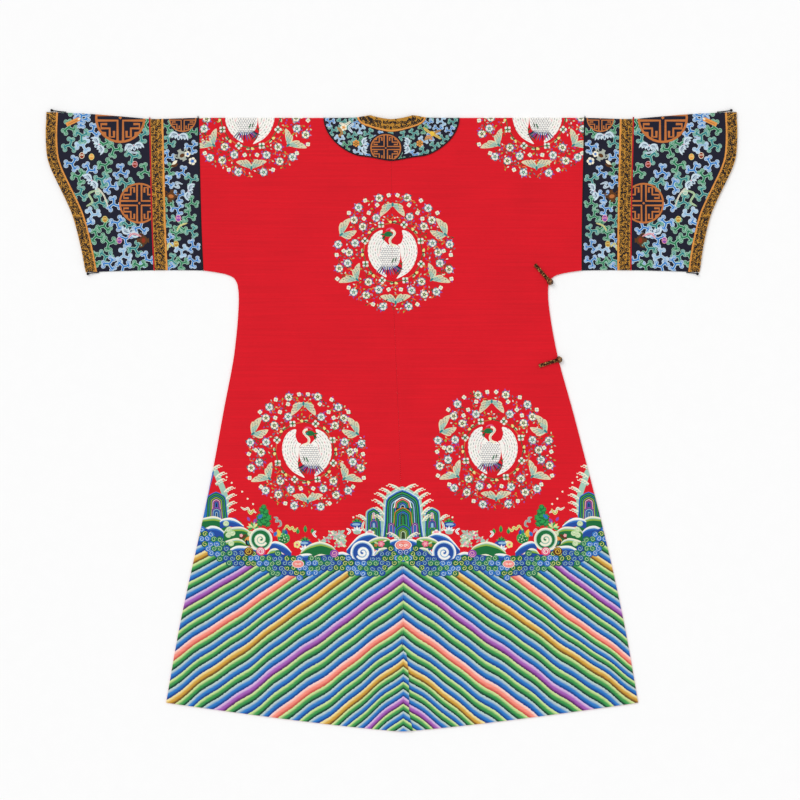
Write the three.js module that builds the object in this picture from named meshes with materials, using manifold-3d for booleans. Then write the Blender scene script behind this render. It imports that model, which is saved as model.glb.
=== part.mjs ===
// A Qing-style kesi (silk tapestry) robe laid out flat, back upwards. Millimetres, +Z up.
// The underside lies on z = 0, +Y points to the shoulders and the origin is under the middle of the robe.
// Places on the robe are given as u, the distance across from the centre-back seam (negative on the left),
// and drop, the distance down from the shoulder line. The cloth has no shoulder seam: it folds over there.
import * as THREE from "three";
import { mergeVertices } from "three/addons/utils/BufferGeometryUtils.js";
import Module from "manifold-3d";

const wasm = await Module();
wasm.setup();

// Driving sizes
const BODY_LENGTH = 1387; // shoulder line to the lowest point of the hem
const HEM_CORNER = 1322; // drop of the two hem corners
const HEM_POWER = 1.2; // how roundly the hem rises to its corners
const SWAY = { from: 185, to: 1000, by: 24 }; // the laid skirt swings a little to the right
const WALL = 1.2; // tapestry with its silk lining
const FACING_WALL = 1.0;
const SEAM_GAP = 0.3;
const LAYER_GAP = SEAM_GAP; // air left between back and front at the edges
const REST_PUFF = 1.0; // more air away from the edges
const PUFF_FADE = 32; // how far in from an edge that air builds up
const RIBBON_RISE = 0.5; // brocade ribbon above its neighbours

// Centre-back vent, left edge lapped over right
const VENT_TOP = 1210;
const VENT_LAP = 14;
const VENT_RISE = 1.9;
const VENT_EASE = 45; // length and width over which the lap climbs

// Collar facing and the brocade ribbon at the neck, half widths and drops
const NECK = { across: 47, back: 8, front: 88 };
const NECK_RIBBON = { across: 78, back: 37, front: 118 };
const FACING = { across: 150.5, back: 99, front: 181 };
const EDGING_WIDTH = 3;
const FACING_EDGE = {
  across: FACING.across + SEAM_GAP + EDGING_WIDTH,
  back: FACING.back + SEAM_GAP + EDGING_WIDTH,
  front: FACING.front + SEAM_GAP + EDGING_WIDTH,
};
const FACING_LIFT = 0.5; // the facing lies on the back cloth

// Sleeve joints, distance across at the shoulder fold; each leans in by the underarm
const SLEEVE_DEPTH = 350;
const JOINT_LEAN = 8;
const BODY_END = 435;
const BAND_START = BODY_END + SEAM_GAP + EDGING_WIDTH + SEAM_GAP;
const RIBBON_START = 516;
const RIBBON_END = 545;
const PIPING_WIDTH = 3;
const CUFF_START = RIBBON_END + SEAM_GAP + PIPING_WIDTH + SEAM_GAP;
const CUFF_RIBBON_WIDTH = 26;

// Half width of the body below the armpit
const SIDE_EDGE = [
  { drop: 385, across: 350.5 },
  { drop: 405, across: 349.5 },
  { drop: 450, across: 353 },
  { drop: 500, across: 359.5 },
  { drop: 552, across: 368.5 },
  { drop: 660, across: 394 },
  { drop: 780, across: 420.5 },
  { drop: 900, across: 448 },
  { drop: 1040, across: 480 },
  { drop: 1165, across: 506 },
  { drop: HEM_CORNER, across: 533.5 },
];

// The curve from the side into the sleeve, and the drop at the centre seam of the row of points that ends there
const UNDERARM = [
  { drop: 385, across: 350.5, centre: 415 },
  { drop: 374, across: 352.5, centre: 396 },
  { drop: 364.5, across: 357.5, centre: 382 },
  { drop: 358.5, across: 364.5, centre: 370 },
  { drop: 353.5, across: 377, centre: 360 },
  { drop: 349.5, across: 396, centre: 348 },
  { drop: 345, across: BODY_END - JOINT_LEAN, centre: 330 },
];

// Shoulder fold, negative where it stands above the shoulder line
const SHOULDER = [
  { across: 0, drop: -3 },
  { across: 46, drop: -6 },
  { across: 80, drop: -1 },
  { across: 110, drop: 0 },
  { across: 440, drop: 0 },
  { across: 540, drop: 2.5 },
  { across: 590, drop: -1.5 },
  { across: 665, drop: -7.8 },
  { across: 735, drop: -11.5 },
  { across: 785, drop: -13.5 },
];

// Lower edge of the sleeve
const SLEEVE_EDGE = [
  { across: 350, drop: 374 },
  { across: 364.5, drop: 358.5 },
  { across: 396, drop: 349.5 },
  { across: 430, drop: 345 },
  { across: 543, drop: 344.5 },
  { across: 610, drop: 346 },
  { across: 700, drop: 349 },
];

// Outer edge of the horseshoe cuff
const CUFF_EDGE = [
  { drop: -14, across: 779 },
  { drop: 23, across: 781.5 },
  { drop: 60, across: 781 },
  { drop: 90, across: 778 },
  { drop: 115, across: 770 },
  { drop: 147, across: 755 },
  { drop: 182, across: 738 },
  { drop: 216, across: 723 },
  { drop: 254, across: 712 },
  { drop: 305, across: 701 },
  { drop: 350, across: 694 },
];

// The largest soft folds left in the back: middle, half length, half width, direction in degrees, height
const FOLDS = [
  { u: -270, drop: 470, long: 130, wide: 26, turn: 8, height: 1.1 },
  { u: 275, drop: 455, long: 120, wide: 24, turn: -12, height: 1.2 },
  { u: 300, drop: 560, long: 100, wide: 30, turn: -58, height: 0.9 },
  { u: -120, drop: 640, long: 190, wide: 34, turn: 4, height: 0.7 },
  { u: 150, drop: 780, long: 200, wide: 38, turn: -6, height: 0.8 },
  { u: -330, drop: 860, long: 150, wide: 30, turn: 72, height: 0.9 },
  { u: -60, drop: 1120, long: 150, wide: 30, turn: 80, height: 0.8 },
  { u: 190, drop: 1190, long: 130, wide: 26, turn: 84, height: 1.2 },
  { u: -230, drop: 1250, long: 120, wide: 24, turn: 78, height: 1.3 },
  { u: 370, drop: 1220, long: 130, wide: 24, turn: -76, height: 1.2 },
  { u: -420, drop: 1210, long: 110, wide: 22, turn: 66, height: 1.1 },
  { u: -330, drop: 250, long: 90, wide: 26, turn: 30, height: 0.8 },
  { u: 350, drop: 230, long: 100, wide: 28, turn: -34, height: 0.9 },
];
const FOLD_FREE = { across: 185, drop: 150 }; // no folds under the collar facing

// Fastenings on the right side: a doubled braid on the back that ends at a ball button on the edge
const BRAID = { wide: 8.5, high: 3, sides: 6, steps: 8, lift: 0.7 };
const BUTTON = { radius: 5.5, past: 1.5 };
const FASTENINGS = [
  { name: "upper", from: { u: 322, drop: 332 }, buttonDrop: 371 },
  { name: "lower", from: { u: 323, drop: 561 }, buttonDrop: 546.5 },
];

// Knotted cords at the cuff corners
const CORD = { thick: 2.4, sides: 4, steps: 5, knot: 3.6, standsOff: 0.1 };
const CUFF_CORDS = [
  { name: "top", starts: 736, knotAt: 768 },
  { name: "bottom", starts: 664, knotAt: 689 },
];

// Numbers of rows and columns
const BODY_COLUMNS = 11;
const SKIRT_ROWS = 21;
const CHEST_ROWS = 7;
const FRONT_SKIRT_ROWS = 9;
const TURN_STEPS = 4;
const SLEEVE_BACK_ROWS = 10;
const SLEEVE_FRONT_ROWS = 7;

const COLOURS = {
  kesi: { color: "#c8141c", roughness: 0.62, metalness: 0 },
  navy: { color: "#15162b", roughness: 0.55, metalness: 0 },
  brocade: { color: "#a9752b", roughness: 0.5, metalness: 0.1 },
  piping: { color: "#b3181f", roughness: 0.6, metalness: 0 },
  black: { color: "#0d0d14", roughness: 0.6, metalness: 0 },
  braid: { color: "#5a3418", roughness: 0.6, metalness: 0 },
  brass: { color: "#9a6b3c", roughness: 0.35, metalness: 0.8 },
};

const mix = (a, b, t) => a + (b - a) * t;
const clamp01 = (t) => Math.min(1, Math.max(0, t));
const ease = (from, to, at) => {
  const t = clamp01((at - from) / (to - from));
  return t * t * (3 - 2 * t);
};
const radians = (degrees) => (degrees * Math.PI) / 180;

// Reads a table as a smooth curve: the value of one column where another column has the given value.
function read(table, key, value, at) {
  const rows = table[0][key] < table[table.length - 1][key] ? table : [...table].reverse();
  const last = rows.length - 1;
  if (at <= rows[0][key]) return rows[0][value];
  if (at >= rows[last][key]) return rows[last][value];
  const i = rows.findIndex((row) => row[key] > at) - 1;
  const slope = (a, b) => (rows[b][value] - rows[a][value]) / (rows[b][key] - rows[a][key]);
  const span = rows[i + 1][key] - rows[i][key];
  const start = slope(Math.max(0, i - 1), i + 1) * span;
  const end = slope(i, Math.min(last, i + 2)) * span;
  const t = (at - rows[i][key]) / span;
  const cubic = (2 * t ** 3 - 3 * t ** 2 + 1) * rows[i][value] + (t ** 3 - 2 * t ** 2 + t) * start;
  return cubic + (3 * t ** 2 - 2 * t ** 3) * rows[i + 1][value] + (t ** 3 - t ** 2) * end;
}

const halfWidth = (drop) => read(SIDE_EDGE, "drop", "across", drop);
const shoulder = (u) => read(SHOULDER, "across", "drop", Math.abs(u));
const sleeveEdge = (u) => read(SLEEVE_EDGE, "across", "drop", Math.abs(u));
const cuffEdge = (drop) => read(CUFF_EDGE, "drop", "across", drop);
const cordEdge = (cord) => (cord.name === "top" ? shoulder : sleeveEdge);

// The upper cuff knots reach highest, and the origin is under the middle of the whole length.
const KNOT_OFF = SEAM_GAP + CORD.standsOff + CORD.knot;
const TOP_REACH = KNOT_OFF + CORD.knot - shoulder(CUFF_CORDS[0].knotAt);
const SHOULDER_Y = (BODY_LENGTH - TOP_REACH) / 2;
const joint = (across) => (drop) => across - (JOINT_LEAN * drop) / SLEEVE_DEPTH;

// How far a place on the back is from the nearest edge.
function room(u, drop) {
  const across = Math.abs(u);
  const hem = HEM_CORNER + 20 - drop;
  const armpit = UNDERARM[1];
  if (drop > armpit.drop) return Math.min(hem, halfWidth(drop) - across);
  if (across > armpit.across) return sleeveEdge(across) - drop;
  return Math.hypot(armpit.across - across, armpit.drop - drop);
}

function folds(u, drop) {
  const free = 1 - ease(FOLD_FREE.across, FOLD_FREE.across + 60, Math.abs(u));
  const calm = free * (1 - ease(FOLD_FREE.drop, FOLD_FREE.drop + 60, drop));
  return (1 - calm) * FOLDS.reduce((sum, fold) => {
    const [du, dd] = [u - fold.u, drop - fold.drop];
    const [c, s] = [Math.cos(radians(fold.turn)), Math.sin(radians(fold.turn))];
    const [along, off] = [(du * c + dd * s) / fold.long, (dd * c - du * s) / fold.wide];
    return sum + fold.height * Math.exp(-along * along - off * off);
  }, 0);
}

// Height of the back's outer surface.
function backHeight(u, drop) {
  const airy = ease(0, PUFF_FADE, room(u, drop));
  return 2 * WALL + LAYER_GAP + airy * (REST_PUFF + folds(u, drop));
}

// The left edge of the vent climbs over the right one.
function ventRise(u, drop) {
  const down = ease(VENT_TOP - 2 * VENT_EASE, VENT_TOP - VENT_EASE, drop);
  return VENT_RISE * down * ease(-VENT_EASE, -2, u);
}

const sway = (drop) => SWAY.by * ease(SWAY.from, SWAY.to, drop);
const place = (u, drop, z) => [u + sway(drop), SHOULDER_Y - drop, z];

// The outer and inner point of a wall, on the back, on the front or in the turn over a fold.
// spec: {u, drop} or {u, turn, under}, turn being 0 at the back and PI at the front.
function wallPoints(spec, wall, height) {
  const { u, drop, layer, turn, under } = spec;
  if (layer === "back") {
    const z = height(u, drop);
    return [place(u, drop, z), place(u, drop, z - wall)];
  }
  if (layer === "front") return [place(u, drop, 0), place(u, drop, wall)];
  const apex = under ? sleeveEdge(u) : shoulder(u);
  const radius = height(u, apex) / 2;
  const way = under ? -1 : 1;
  const middle = apex + way * radius;
  const at = (r) => place(u, middle - way * r * Math.sin(turn), radius + r * Math.cos(turn));
  return [at(radius), at(radius - wall)];
}

// A closed wall between two grids of points. A ring also joins its last row to its first.
function wallGeometry(rows, ring) {
  const [high, wide] = [rows.length, rows[0].length];
  const positions = [];
  for (const side of [0, 1])
    for (const row of rows) for (const pair of row) positions.push(...pair[side]);
  const at = (side, i, j) => side * high * wide + (i % high) * wide + j;
  const triangles = [];
  const quad = (a, b, c, d) => triangles.push(a, b, c, a, c, d);
  const lastRow = ring ? high : high - 1;
  for (let i = 0; i < lastRow; i++)
    for (let j = 0; j < wide - 1; j++) {
      quad(at(0, i, j), at(0, i, j + 1), at(0, i + 1, j + 1), at(0, i + 1, j));
      quad(at(1, i, j), at(1, i + 1, j), at(1, i + 1, j + 1), at(1, i, j + 1));
    }
  for (let i = 0; i < lastRow; i++) {
    quad(at(0, i, 0), at(0, i + 1, 0), at(1, i + 1, 0), at(1, i, 0));
    const end = wide - 1;
    quad(at(0, i + 1, end), at(0, i, end), at(1, i, end), at(1, i + 1, end));
  }
  if (!ring)
    for (let j = 0; j < wide - 1; j++) {
      const end = high - 1;
      quad(at(0, 0, j + 1), at(0, 0, j), at(1, 0, j), at(1, 0, j + 1));
      quad(at(0, end, j), at(0, end, j + 1), at(1, end, j + 1), at(1, end, j));
    }
  if (signedVolume(positions, triangles) < 0) triangles.reverse();
  const geometry = new THREE.BufferGeometry();
  geometry.setAttribute("position", new THREE.Float32BufferAttribute(positions, 3));
  geometry.setIndex(triangles);
  return geometry;
}

function signedVolume(positions, triangles) {
  const corner = (k) => new THREE.Vector3().fromArray(positions, 3 * triangles[k]);
  let sum = 0;
  for (let k = 0; k < triangles.length; k += 3)
    sum += corner(k).dot(corner(k + 1).cross(corner(k + 2)));
  return sum / 6;
}

// Rows of the back of one half, from the hem up. Each runs from the centre seam to the outer edge.
function backRows() {
  const rows = [];
  for (let k = 0; k < SKIRT_ROWS; k++) {
    const t = k / SKIRT_ROWS;
    const drop = mix(HEM_CORNER, UNDERARM[0].drop, t);
    rows.push({ drop, across: halfWidth(drop), centre: mix(BODY_LENGTH, UNDERARM[0].centre, t) });
  }
  rows.push(...UNDERARM);
  const lowest = UNDERARM[UNDERARM.length - 1];
  for (let k = 1; k <= CHEST_ROWS; k++) {
    const t = k / CHEST_ROWS;
    const drop = mix(lowest.drop, 8, t);
    rows.push({ drop, across: joint(BODY_END)(drop), centre: mix(lowest.centre, 13, t) });
  }
  return rows;
}

// Rows of the front, from the shoulder fold down to the line from the collar to the armpit.
function chestRows() {
  const lowest = UNDERARM[UNDERARM.length - 1];
  const ends = [8, 120, 240].map((drop) => ({ drop, across: joint(BODY_END)(drop) }));
  ends.push(...[...UNDERARM].reverse());
  return ends.map((end, k) => {
    const turn = radians(mix(4, 90, k / (ends.length - 1)));
    return {
      start: {
        across: (FACING_EDGE.across + SEAM_GAP) * Math.cos(turn) + SEAM_GAP / 2,
        drop: (FACING_EDGE.front + SEAM_GAP) * Math.sin(turn),
      },
      end: { across: end.across, drop: Math.min(end.drop, lowest.drop + 60) },
    };
  });
}

// One half of the robe's cloth: back, shoulder fold and front in one length, as it is cut and woven.
function bodyHalf(side, wholeFront) {
  const seam = SEAM_GAP / 2;
  const height = (u, drop) => backHeight(u, drop) + (side < 0 ? ventRise(u, drop) : 0);
  const points = (from, to, spec) =>
    Array.from({ length: BODY_COLUMNS + 1 }, (_, j) => {
      const t = j / BODY_COLUMNS;
      const u = mix(from.u, to.u, t);
      const share = Math.abs(u) / Math.abs(to.u);
      const drop = spec.curved ? mix(from.drop, to.drop, share ** HEM_POWER) : mix(from.drop, to.drop, t);
      return wallPoints({ ...spec, u, drop }, WALL, height);
    });
  const rows = backRows().map((row) => {
    const lapped = side < 0 && row.centre > VENT_TOP;
    const from = { u: lapped ? VENT_LAP : side * seam, drop: row.centre };
    return points(from, { u: side * row.across, drop: row.drop }, { layer: "back", curved: true });
  });
  const beside = side * (FACING_EDGE.across + SEAM_GAP);
  for (let k = 0; k <= TURN_STEPS; k++)
    rows.push(
      points({ u: beside }, { u: side * BODY_END }, { layer: "turn", turn: (Math.PI * k) / TURN_STEPS }),
    );
  for (const { start, end } of chestRows())
    rows.push(
      points(
        { u: side * start.across, drop: start.drop },
        { u: side * end.across, drop: end.drop },
        { layer: "front" },
      ),
    );
  if (wholeFront)
    for (let k = 1; k <= FRONT_SKIRT_ROWS; k++) {
      const t = k / FRONT_SKIRT_ROWS;
      const drop = mix(UNDERARM[0].drop, HEM_CORNER, t);
      const centre = mix(FACING_EDGE.front, BODY_LENGTH, t);
      rows.push(
        points(
          { u: side * seam, drop: centre },
          { u: side * halfWidth(drop), drop },
          { layer: "front", curved: k === FRONT_SKIRT_ROWS },
        ),
      );
    }
  return wallGeometry(rows, false);
}

// The outer front that laps to the right side, below the line from the collar to the armpit.
function frontOverlap() {
  const clear = 2 * SEAM_GAP;
  const rows = [];
  for (let k = 0; k <= FRONT_SKIRT_ROWS; k++) {
    const t = k / FRONT_SKIRT_ROWS;
    const drop = mix(UNDERARM[0].drop, HEM_CORNER, t);
    const centre = mix(FACING_EDGE.front + SEAM_GAP, BODY_LENGTH, t);
    const [lowered, edge] = [k ? 0 : clear, halfWidth(drop)];
    rows.push(
      Array.from({ length: BODY_COLUMNS + 1 }, (_, j) => {
        const s = j / BODY_COLUMNS;
        const u = mix(SEAM_GAP / 2, edge, s);
        const bend = k === FRONT_SKIRT_ROWS ? s ** HEM_POWER : s;
        return wallPoints({ u, drop: mix(centre, drop, bend) + lowered, layer: "front" }, WALL);
      }),
    );
  }
  return wallGeometry(rows, false);
}

// Angles round a collar piece, close together where it turns over the shoulder.
function collarAngles() {
  const quarter = [0, 0.8, 1.7, 3, 5, 9, 15, 24, 38, 55, 72];
  const half = [...quarter, 90, ...[...quarter].reverse().map((a) => 180 - a)];
  return [...half.slice(0, -1), ...half.slice(0, -1).map((a) => a + 180)].map(radians);
}

// A ring round the neck, between two outlines, folded at the shoulder line.
function collarRing(inside, outside, columns, wall, lift) {
  const height = (u, drop) => backHeight(u, Math.max(drop, 0)) + lift + wall;
  const rows = collarAngles().map((angle) =>
    Array.from({ length: columns + 1 }, (_, j) => {
      const t = j / columns;
      const [c, s] = [Math.cos(angle), Math.sin(angle)];
      const u = mix(inside.across, outside.across, t) * c;
      const deep = s > 0 ? mix(inside.back, outside.back, t) : mix(inside.front, outside.front, t);
      return foldedPoints(u, deep * s, wall, height);
    }),
  );
  return wallGeometry(rows, true);
}

// A place given by its distance along the cloth from the shoulder fold, positive on the back.
function foldedPoints(u, path, wall, height) {
  const apex = shoulder(u);
  const radius = height(u, apex) / 2;
  const arc = (Math.PI / 2) * radius;
  if (path >= arc)
    return wallPoints({ u, drop: apex + radius + path - arc, layer: "back" }, wall, height);
  if (path <= -arc)
    return wallPoints({ u, drop: apex + radius - path - arc, layer: "front" }, wall, height);
  return wallPoints({ u, layer: "turn", turn: Math.PI / 2 - path / radius }, wall, height);
}

// A flattened tube round the sleeve between two lines that depend on the drop.
function sleeveTube(side, startLine, endLine, columns, wall, rise) {
  const height = (u, drop) => backHeight(u, drop) + rise;
  const stations = [];
  for (let k = 0; k <= SLEEVE_BACK_ROWS; k++)
    stations.push({ layer: "back", share: 1 - k / SLEEVE_BACK_ROWS });
  for (let k = 1; k < TURN_STEPS; k++)
    stations.push({ layer: "turn", under: false, share: 0, turn: (Math.PI * k) / TURN_STEPS });
  for (let k = 0; k <= SLEEVE_FRONT_ROWS; k++)
    stations.push({ layer: "front", share: k / SLEEVE_FRONT_ROWS });
  for (let k = TURN_STEPS - 1; k > 0; k--)
    stations.push({ layer: "turn", under: true, share: 1, turn: (Math.PI * k) / TURN_STEPS });
  const rows = stations.map((station) =>
    Array.from({ length: columns + 1 }, (_, j) => {
      const nominal = mix(shoulder(RIBBON_END), SLEEVE_DEPTH, station.share);
      const u = side * mix(startLine(nominal), endLine(nominal), j / columns);
      const [top, low] = [shoulder(u), sleeveEdge(u)];
      const drop = mix(top + height(u, top) / 2, low - height(u, low) / 2, station.share);
      return wallPoints({ ...station, u, drop }, wall, height);
    }),
  );
  return wallGeometry(rows, true);
}

// Joins closed geometries into one solid.
function joined(geometries) {
  const solids = geometries.map((geometry) => {
    const bare = geometry.clone();
    bare.deleteAttribute("normal");
    bare.deleteAttribute("uv");
    const merged = mergeVertices(bare, 1e-4);
    return new wasm.Manifold(
      new wasm.Mesh({
        numProp: 3,
        vertProperties: new Float32Array(merged.attributes.position.array),
        triVerts: new Uint32Array(merged.index.array),
      }),
    );
  });
  const { vertProperties, triVerts } = solids.reduce((a, b) => a.add(b)).getMesh();
  const geometry = new THREE.BufferGeometry();
  geometry.setAttribute("position", new THREE.BufferAttribute(vertProperties, 3));
  geometry.setIndex(new THREE.BufferAttribute(triVerts, 1));
  return geometry;
}

// An oval cord along points; its section's width lies flat.
function cordGeometry(points, wide, high, sides, steps) {
  const path = new THREE.CatmullRomCurve3(points.map((p) => new THREE.Vector3(...p)));
  const section = new THREE.Shape();
  section.absellipse(0, 0, high / 2, wide / 2, 0, 2 * Math.PI, false, 0);
  return new THREE.ExtrudeGeometry(section, {
    steps,
    extrudePath: path,
    curveSegments: sides,
    bevelEnabled: false,
  });
}

// Where a button's middle is: just past the edge, resting on the corner of the cloth.
function buttonPlace({ buttonDrop }) {
  const outline = buttonDrop < UNDERARM[0].drop ? UNDERARM : SIDE_EDGE;
  const edge = read(outline, "drop", "across", buttonDrop);
  const rise = Math.sqrt((BUTTON.radius + SEAM_GAP) ** 2 - BUTTON.past ** 2);
  return { u: edge + BUTTON.past, drop: buttonDrop, z: backHeight(edge, buttonDrop) + rise, edge };
}

// The braid of one fastening, lying on the back as far as its button.
function fasteningBraid(fastening) {
  const [from, to] = [fastening.from, buttonPlace(fastening)];
  const [du, dd] = [to.u - from.u, to.drop - from.drop];
  const reach = 1 - (BUTTON.radius + SEAM_GAP) / Math.hypot(du, dd);
  const points = [0, 0.25, 0.5, 0.75, 1].map((t) => {
    const [u, drop] = [from.u + t * reach * du, from.drop + t * reach * dd];
    return place(u, drop, backHeight(u, drop) + BRAID.lift + BRAID.high / 2);
  });
  return cordGeometry(points, BRAID.wide, BRAID.high, BRAID.sides, BRAID.steps);
}

function fasteningButton(fastening) {
  const { u, drop, z } = buttonPlace(fastening);
  return new THREE.SphereGeometry(BUTTON.radius, 14, 9).translate(...place(u, drop, z));
}

// A thin cord along the edge of a cuff corner that ends in a knot.
function cuffCord(side, cord) {
  const [edge, way] = [cordEdge(cord), cord.name === "top" ? -1 : 1];
  const half = CORD.thick / 2;
  const points = [0, 0.5, 1].map((t) => {
    const u = mix(cord.starts, cord.knotAt, t);
    const out = SEAM_GAP + CORD.standsOff + mix(half, CORD.knot, t * t);
    return place(side * u, edge(u) + way * out, mix(half, CORD.knot, t) + 0.2);
  });
  const knot = new THREE.SphereGeometry(CORD.knot, 10, 7);
  knot.translate(...place(side * cord.knotAt, edge(cord.knotAt) + way * KNOT_OFF, CORD.knot));
  return joined([cordGeometry(points, CORD.thick, CORD.thick, CORD.sides, CORD.steps), knot]);
}

const robe = new THREE.Group();

function add(name, geometry, finish) {
  const mesh = new THREE.Mesh(geometry, new THREE.MeshStandardMaterial(COLOURS[finish]));
  mesh.name = name;
  robe.add(mesh);
}

// Body
add("body_left_half", bodyHalf(-1, true), "kesi");
add("body_right_half", bodyHalf(1, false), "kesi");
add("front_overlap", frontOverlap(), "kesi");

// Collar
const grown = (outline) => ({
  across: outline.across + SEAM_GAP,
  back: outline.back + SEAM_GAP,
  front: outline.front + SEAM_GAP,
});
add("neck_ribbon", collarRing(NECK, NECK_RIBBON, 2, FACING_WALL + 0.3, FACING_LIFT), "brocade");
add("collar_facing", collarRing(grown(NECK_RIBBON), FACING, 3, FACING_WALL, FACING_LIFT), "navy");
add("collar_edging", collarRing(grown(FACING), FACING_EDGE, 1, FACING_WALL + 0.3, FACING_LIFT), "black");

// Sleeves
for (const [hand, side] of [["left", -1], ["right", 1]]) {
  const cuffRibbon = (drop) => cuffEdge(drop) - CUFF_RIBBON_WIDTH;
  const tube = (...rest) => sleeveTube(side, ...rest);
  const edgingStart = BODY_END + SEAM_GAP;
  const edging = tube(joint(edgingStart), joint(BAND_START - SEAM_GAP), 1, WALL, RIBBON_RISE / 2);
  add(`sleeve_edging_${hand}`, edging, "black");
  const band = tube(joint(BAND_START), joint(RIBBON_START - SEAM_GAP), 3, WALL, 0);
  add(`sleeve_band_${hand}`, band, "navy");
  const ribbon = tube(joint(RIBBON_START), joint(RIBBON_END), 1, WALL, RIBBON_RISE);
  add(`sleeve_ribbon_${hand}`, ribbon, "brocade");
  const piping = tube(joint(RIBBON_END + SEAM_GAP), joint(CUFF_START - SEAM_GAP), 1, WALL, 0);
  add(`sleeve_piping_${hand}`, piping, "piping");
  const cuff = tube(joint(CUFF_START), (drop) => cuffRibbon(drop) - SEAM_GAP, 6, WALL, 0);
  add(`cuff_${hand}`, cuff, "navy");
  add(`cuff_ribbon_${hand}`, tube(cuffRibbon, cuffEdge, 2, WALL, RIBBON_RISE / 2), "brocade");
  for (const cord of CUFF_CORDS) add(`cuff_cord_${cord.name}_${hand}`, cuffCord(side, cord), "black");
}

// Fastenings
for (const fastening of FASTENINGS) {
  add(`fastening_braid_${fastening.name}`, fasteningBraid(fastening), "braid");
  add(`fastening_button_${fastening.name}`, fasteningButton(fastening), "brass");
}

export default robe;
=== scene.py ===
# A Qing-style kesi (silk tapestry) robe laid out flat, back upwards, dressed round its CAD model.
# Places on the cloth are in millimetres: u across from the centre-back seam (negative on the left)
# and v down from the shoulder line. The cloth folds over at the shoulder, and v goes on over that
# fold along the cloth, so a place on the front has a negative v.
import math
import random

import bmesh
import bpy
import numpy as np
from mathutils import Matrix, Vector
from mathutils.geometry import delaunay_2d_cdt


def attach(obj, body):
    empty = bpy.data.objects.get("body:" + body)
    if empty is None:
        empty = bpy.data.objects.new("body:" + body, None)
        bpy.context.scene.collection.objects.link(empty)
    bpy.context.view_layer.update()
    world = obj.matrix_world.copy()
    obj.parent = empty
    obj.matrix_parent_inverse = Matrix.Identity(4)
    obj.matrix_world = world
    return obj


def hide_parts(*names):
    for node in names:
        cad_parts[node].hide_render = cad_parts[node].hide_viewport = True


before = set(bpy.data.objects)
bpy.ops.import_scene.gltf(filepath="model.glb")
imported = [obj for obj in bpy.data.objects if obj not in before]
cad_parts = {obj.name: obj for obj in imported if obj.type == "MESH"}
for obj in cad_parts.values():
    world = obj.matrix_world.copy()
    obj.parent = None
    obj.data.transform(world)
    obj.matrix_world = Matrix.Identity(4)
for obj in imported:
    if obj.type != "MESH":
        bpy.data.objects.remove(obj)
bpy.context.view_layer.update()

# Driving sizes, the same as the CAD model's
BODY_LENGTH = 1387
HEM_CORNER = 1322
HEM_POWER = 1.2
SWAY_FROM, SWAY_TO, SWAY_BY = 185, 1000, 24
WALL = 1.2
FACING_WALL = 1.0
SEAM_GAP = 0.3
LAYER_GAP = 0.3
REST_PUFF = 1.0
PUFF_FADE = 32
RIBBON_RISE = 0.5
FACING_LIFT = 0.5
SHOULDER_Y = 683.28
NECK = (47, 8, 88)  # half width, drop on the back, drop on the front
NECK_RIBBON = (78, 37, 118)
FACING = (150.5, 99, 181)
EDGING_WIDTH = 3
SLEEVE_DEPTH = 350
JOINT_LEAN = 8
JOINT_FOOT = 345  # drop where the sleeve joint meets the underarm
SIDE_START = 385  # drop where the underarm runs out into the side edge
ARMPIT = (352.5, 374)
BACK_NECK = 13  # drop where the back seam starts, under the collar
BODY_END = 435
BAND_START = BODY_END + EDGING_WIDTH + 2 * SEAM_GAP
RIBBON_START = 516
RIBBON_END = 545
PIPING_WIDTH = 3
CUFF_START = RIBBON_END + PIPING_WIDTH + 2 * SEAM_GAP
CUFF_RIBBON_WIDTH = 26
RIBBON_WALL = FACING_WALL + 0.3

# Cords, buttons and braids
CORD = 2.4
CORD_START = 1.2
KNOT = 3.6
KNOT_CORD = 2.2
BUTTON = 5.5
BUTTON_PAST = 1.5
BUTTON_LIFT = 5.6
BUTTON_RIBS = 10
LOOP = 6.3
LOOP_CORD = 2.1
LOOP_GAP = 0.3
LOOP_BELOW = 1.6
BRAID_LIFT = 2.3
BINDING = (4.3, 2.0)  # half width and half height of the thread bound round a braid
BINDING_THREAD = 0.8

STITCH_ROWS = (0.5, 3.4)  # how far the two rows lie from a ribbon's inner edge

# Vent at the hem
VENT_TOP = 1195
VENT_RISE = 1.9
VENT_EASE = 45
VENT_EDGE = [(9.5, 1210), (12, 1233), (14.7, 1258), (15.6, 1292), (15.6, 1344), (24, 1385)]

# Photograph's view: straight down
VIEW_CENTRE = (0.0192, 0.0454)
VIEW_WIDTH = 1.8096
CAMERA_HEIGHT = 4.5
FLOOR = 6

DYES = {
    "red": "#d60c1f",
    "cream": "#efe8cf",
    "straw": "#ddd3ae",
    "white": "#f4f1ea",
    "pearl": "#e4e4da",
    "ice": "#c9dbe6",
    "sky": "#8fb6d6",
    "blue": "#2f70bd",
    "azure": "#3a7fc4",
    "deep_blue": "#1f4a9c",
    "navy": "#1b1f4b",
    "night": "#161629",
    "teal": "#2b7f83",
    "sea": "#9fc7b4",
    "mint": "#b9d6a3",
    "leaf": "#8fb146",
    "green": "#2f9a4c",
    "jade": "#23794f",
    "pine": "#156b38",
    "moss": "#2e4b2a",
    "lemon": "#e6de8a",
    "yellow": "#e8bf45",
    "orange": "#e2984a",
    "copper": "#bd7038",
    "gold": "#b98430",
    "brown": "#5b3717",
    "rust": "#8c2f14",
    "coral": "#f0806f",
    "pink": "#f3a9b0",
    "rose": "#e0567c",
    "purple": "#8d4aa5",
    "lilac": "#b79ad0",
    "slate": "#5d6f85",
    "grey": "#a9b0a4",
    "black": "#14121a",
}


def linear(code):
    channels = [int(code[i : i + 2], 16) / 255 for i in (1, 3, 5)]
    return [c / 12.92 if c <= 0.04045 else ((c + 0.055) / 1.055) ** 2.4 for c in channels] + [1.0]


# Surfaces


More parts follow.
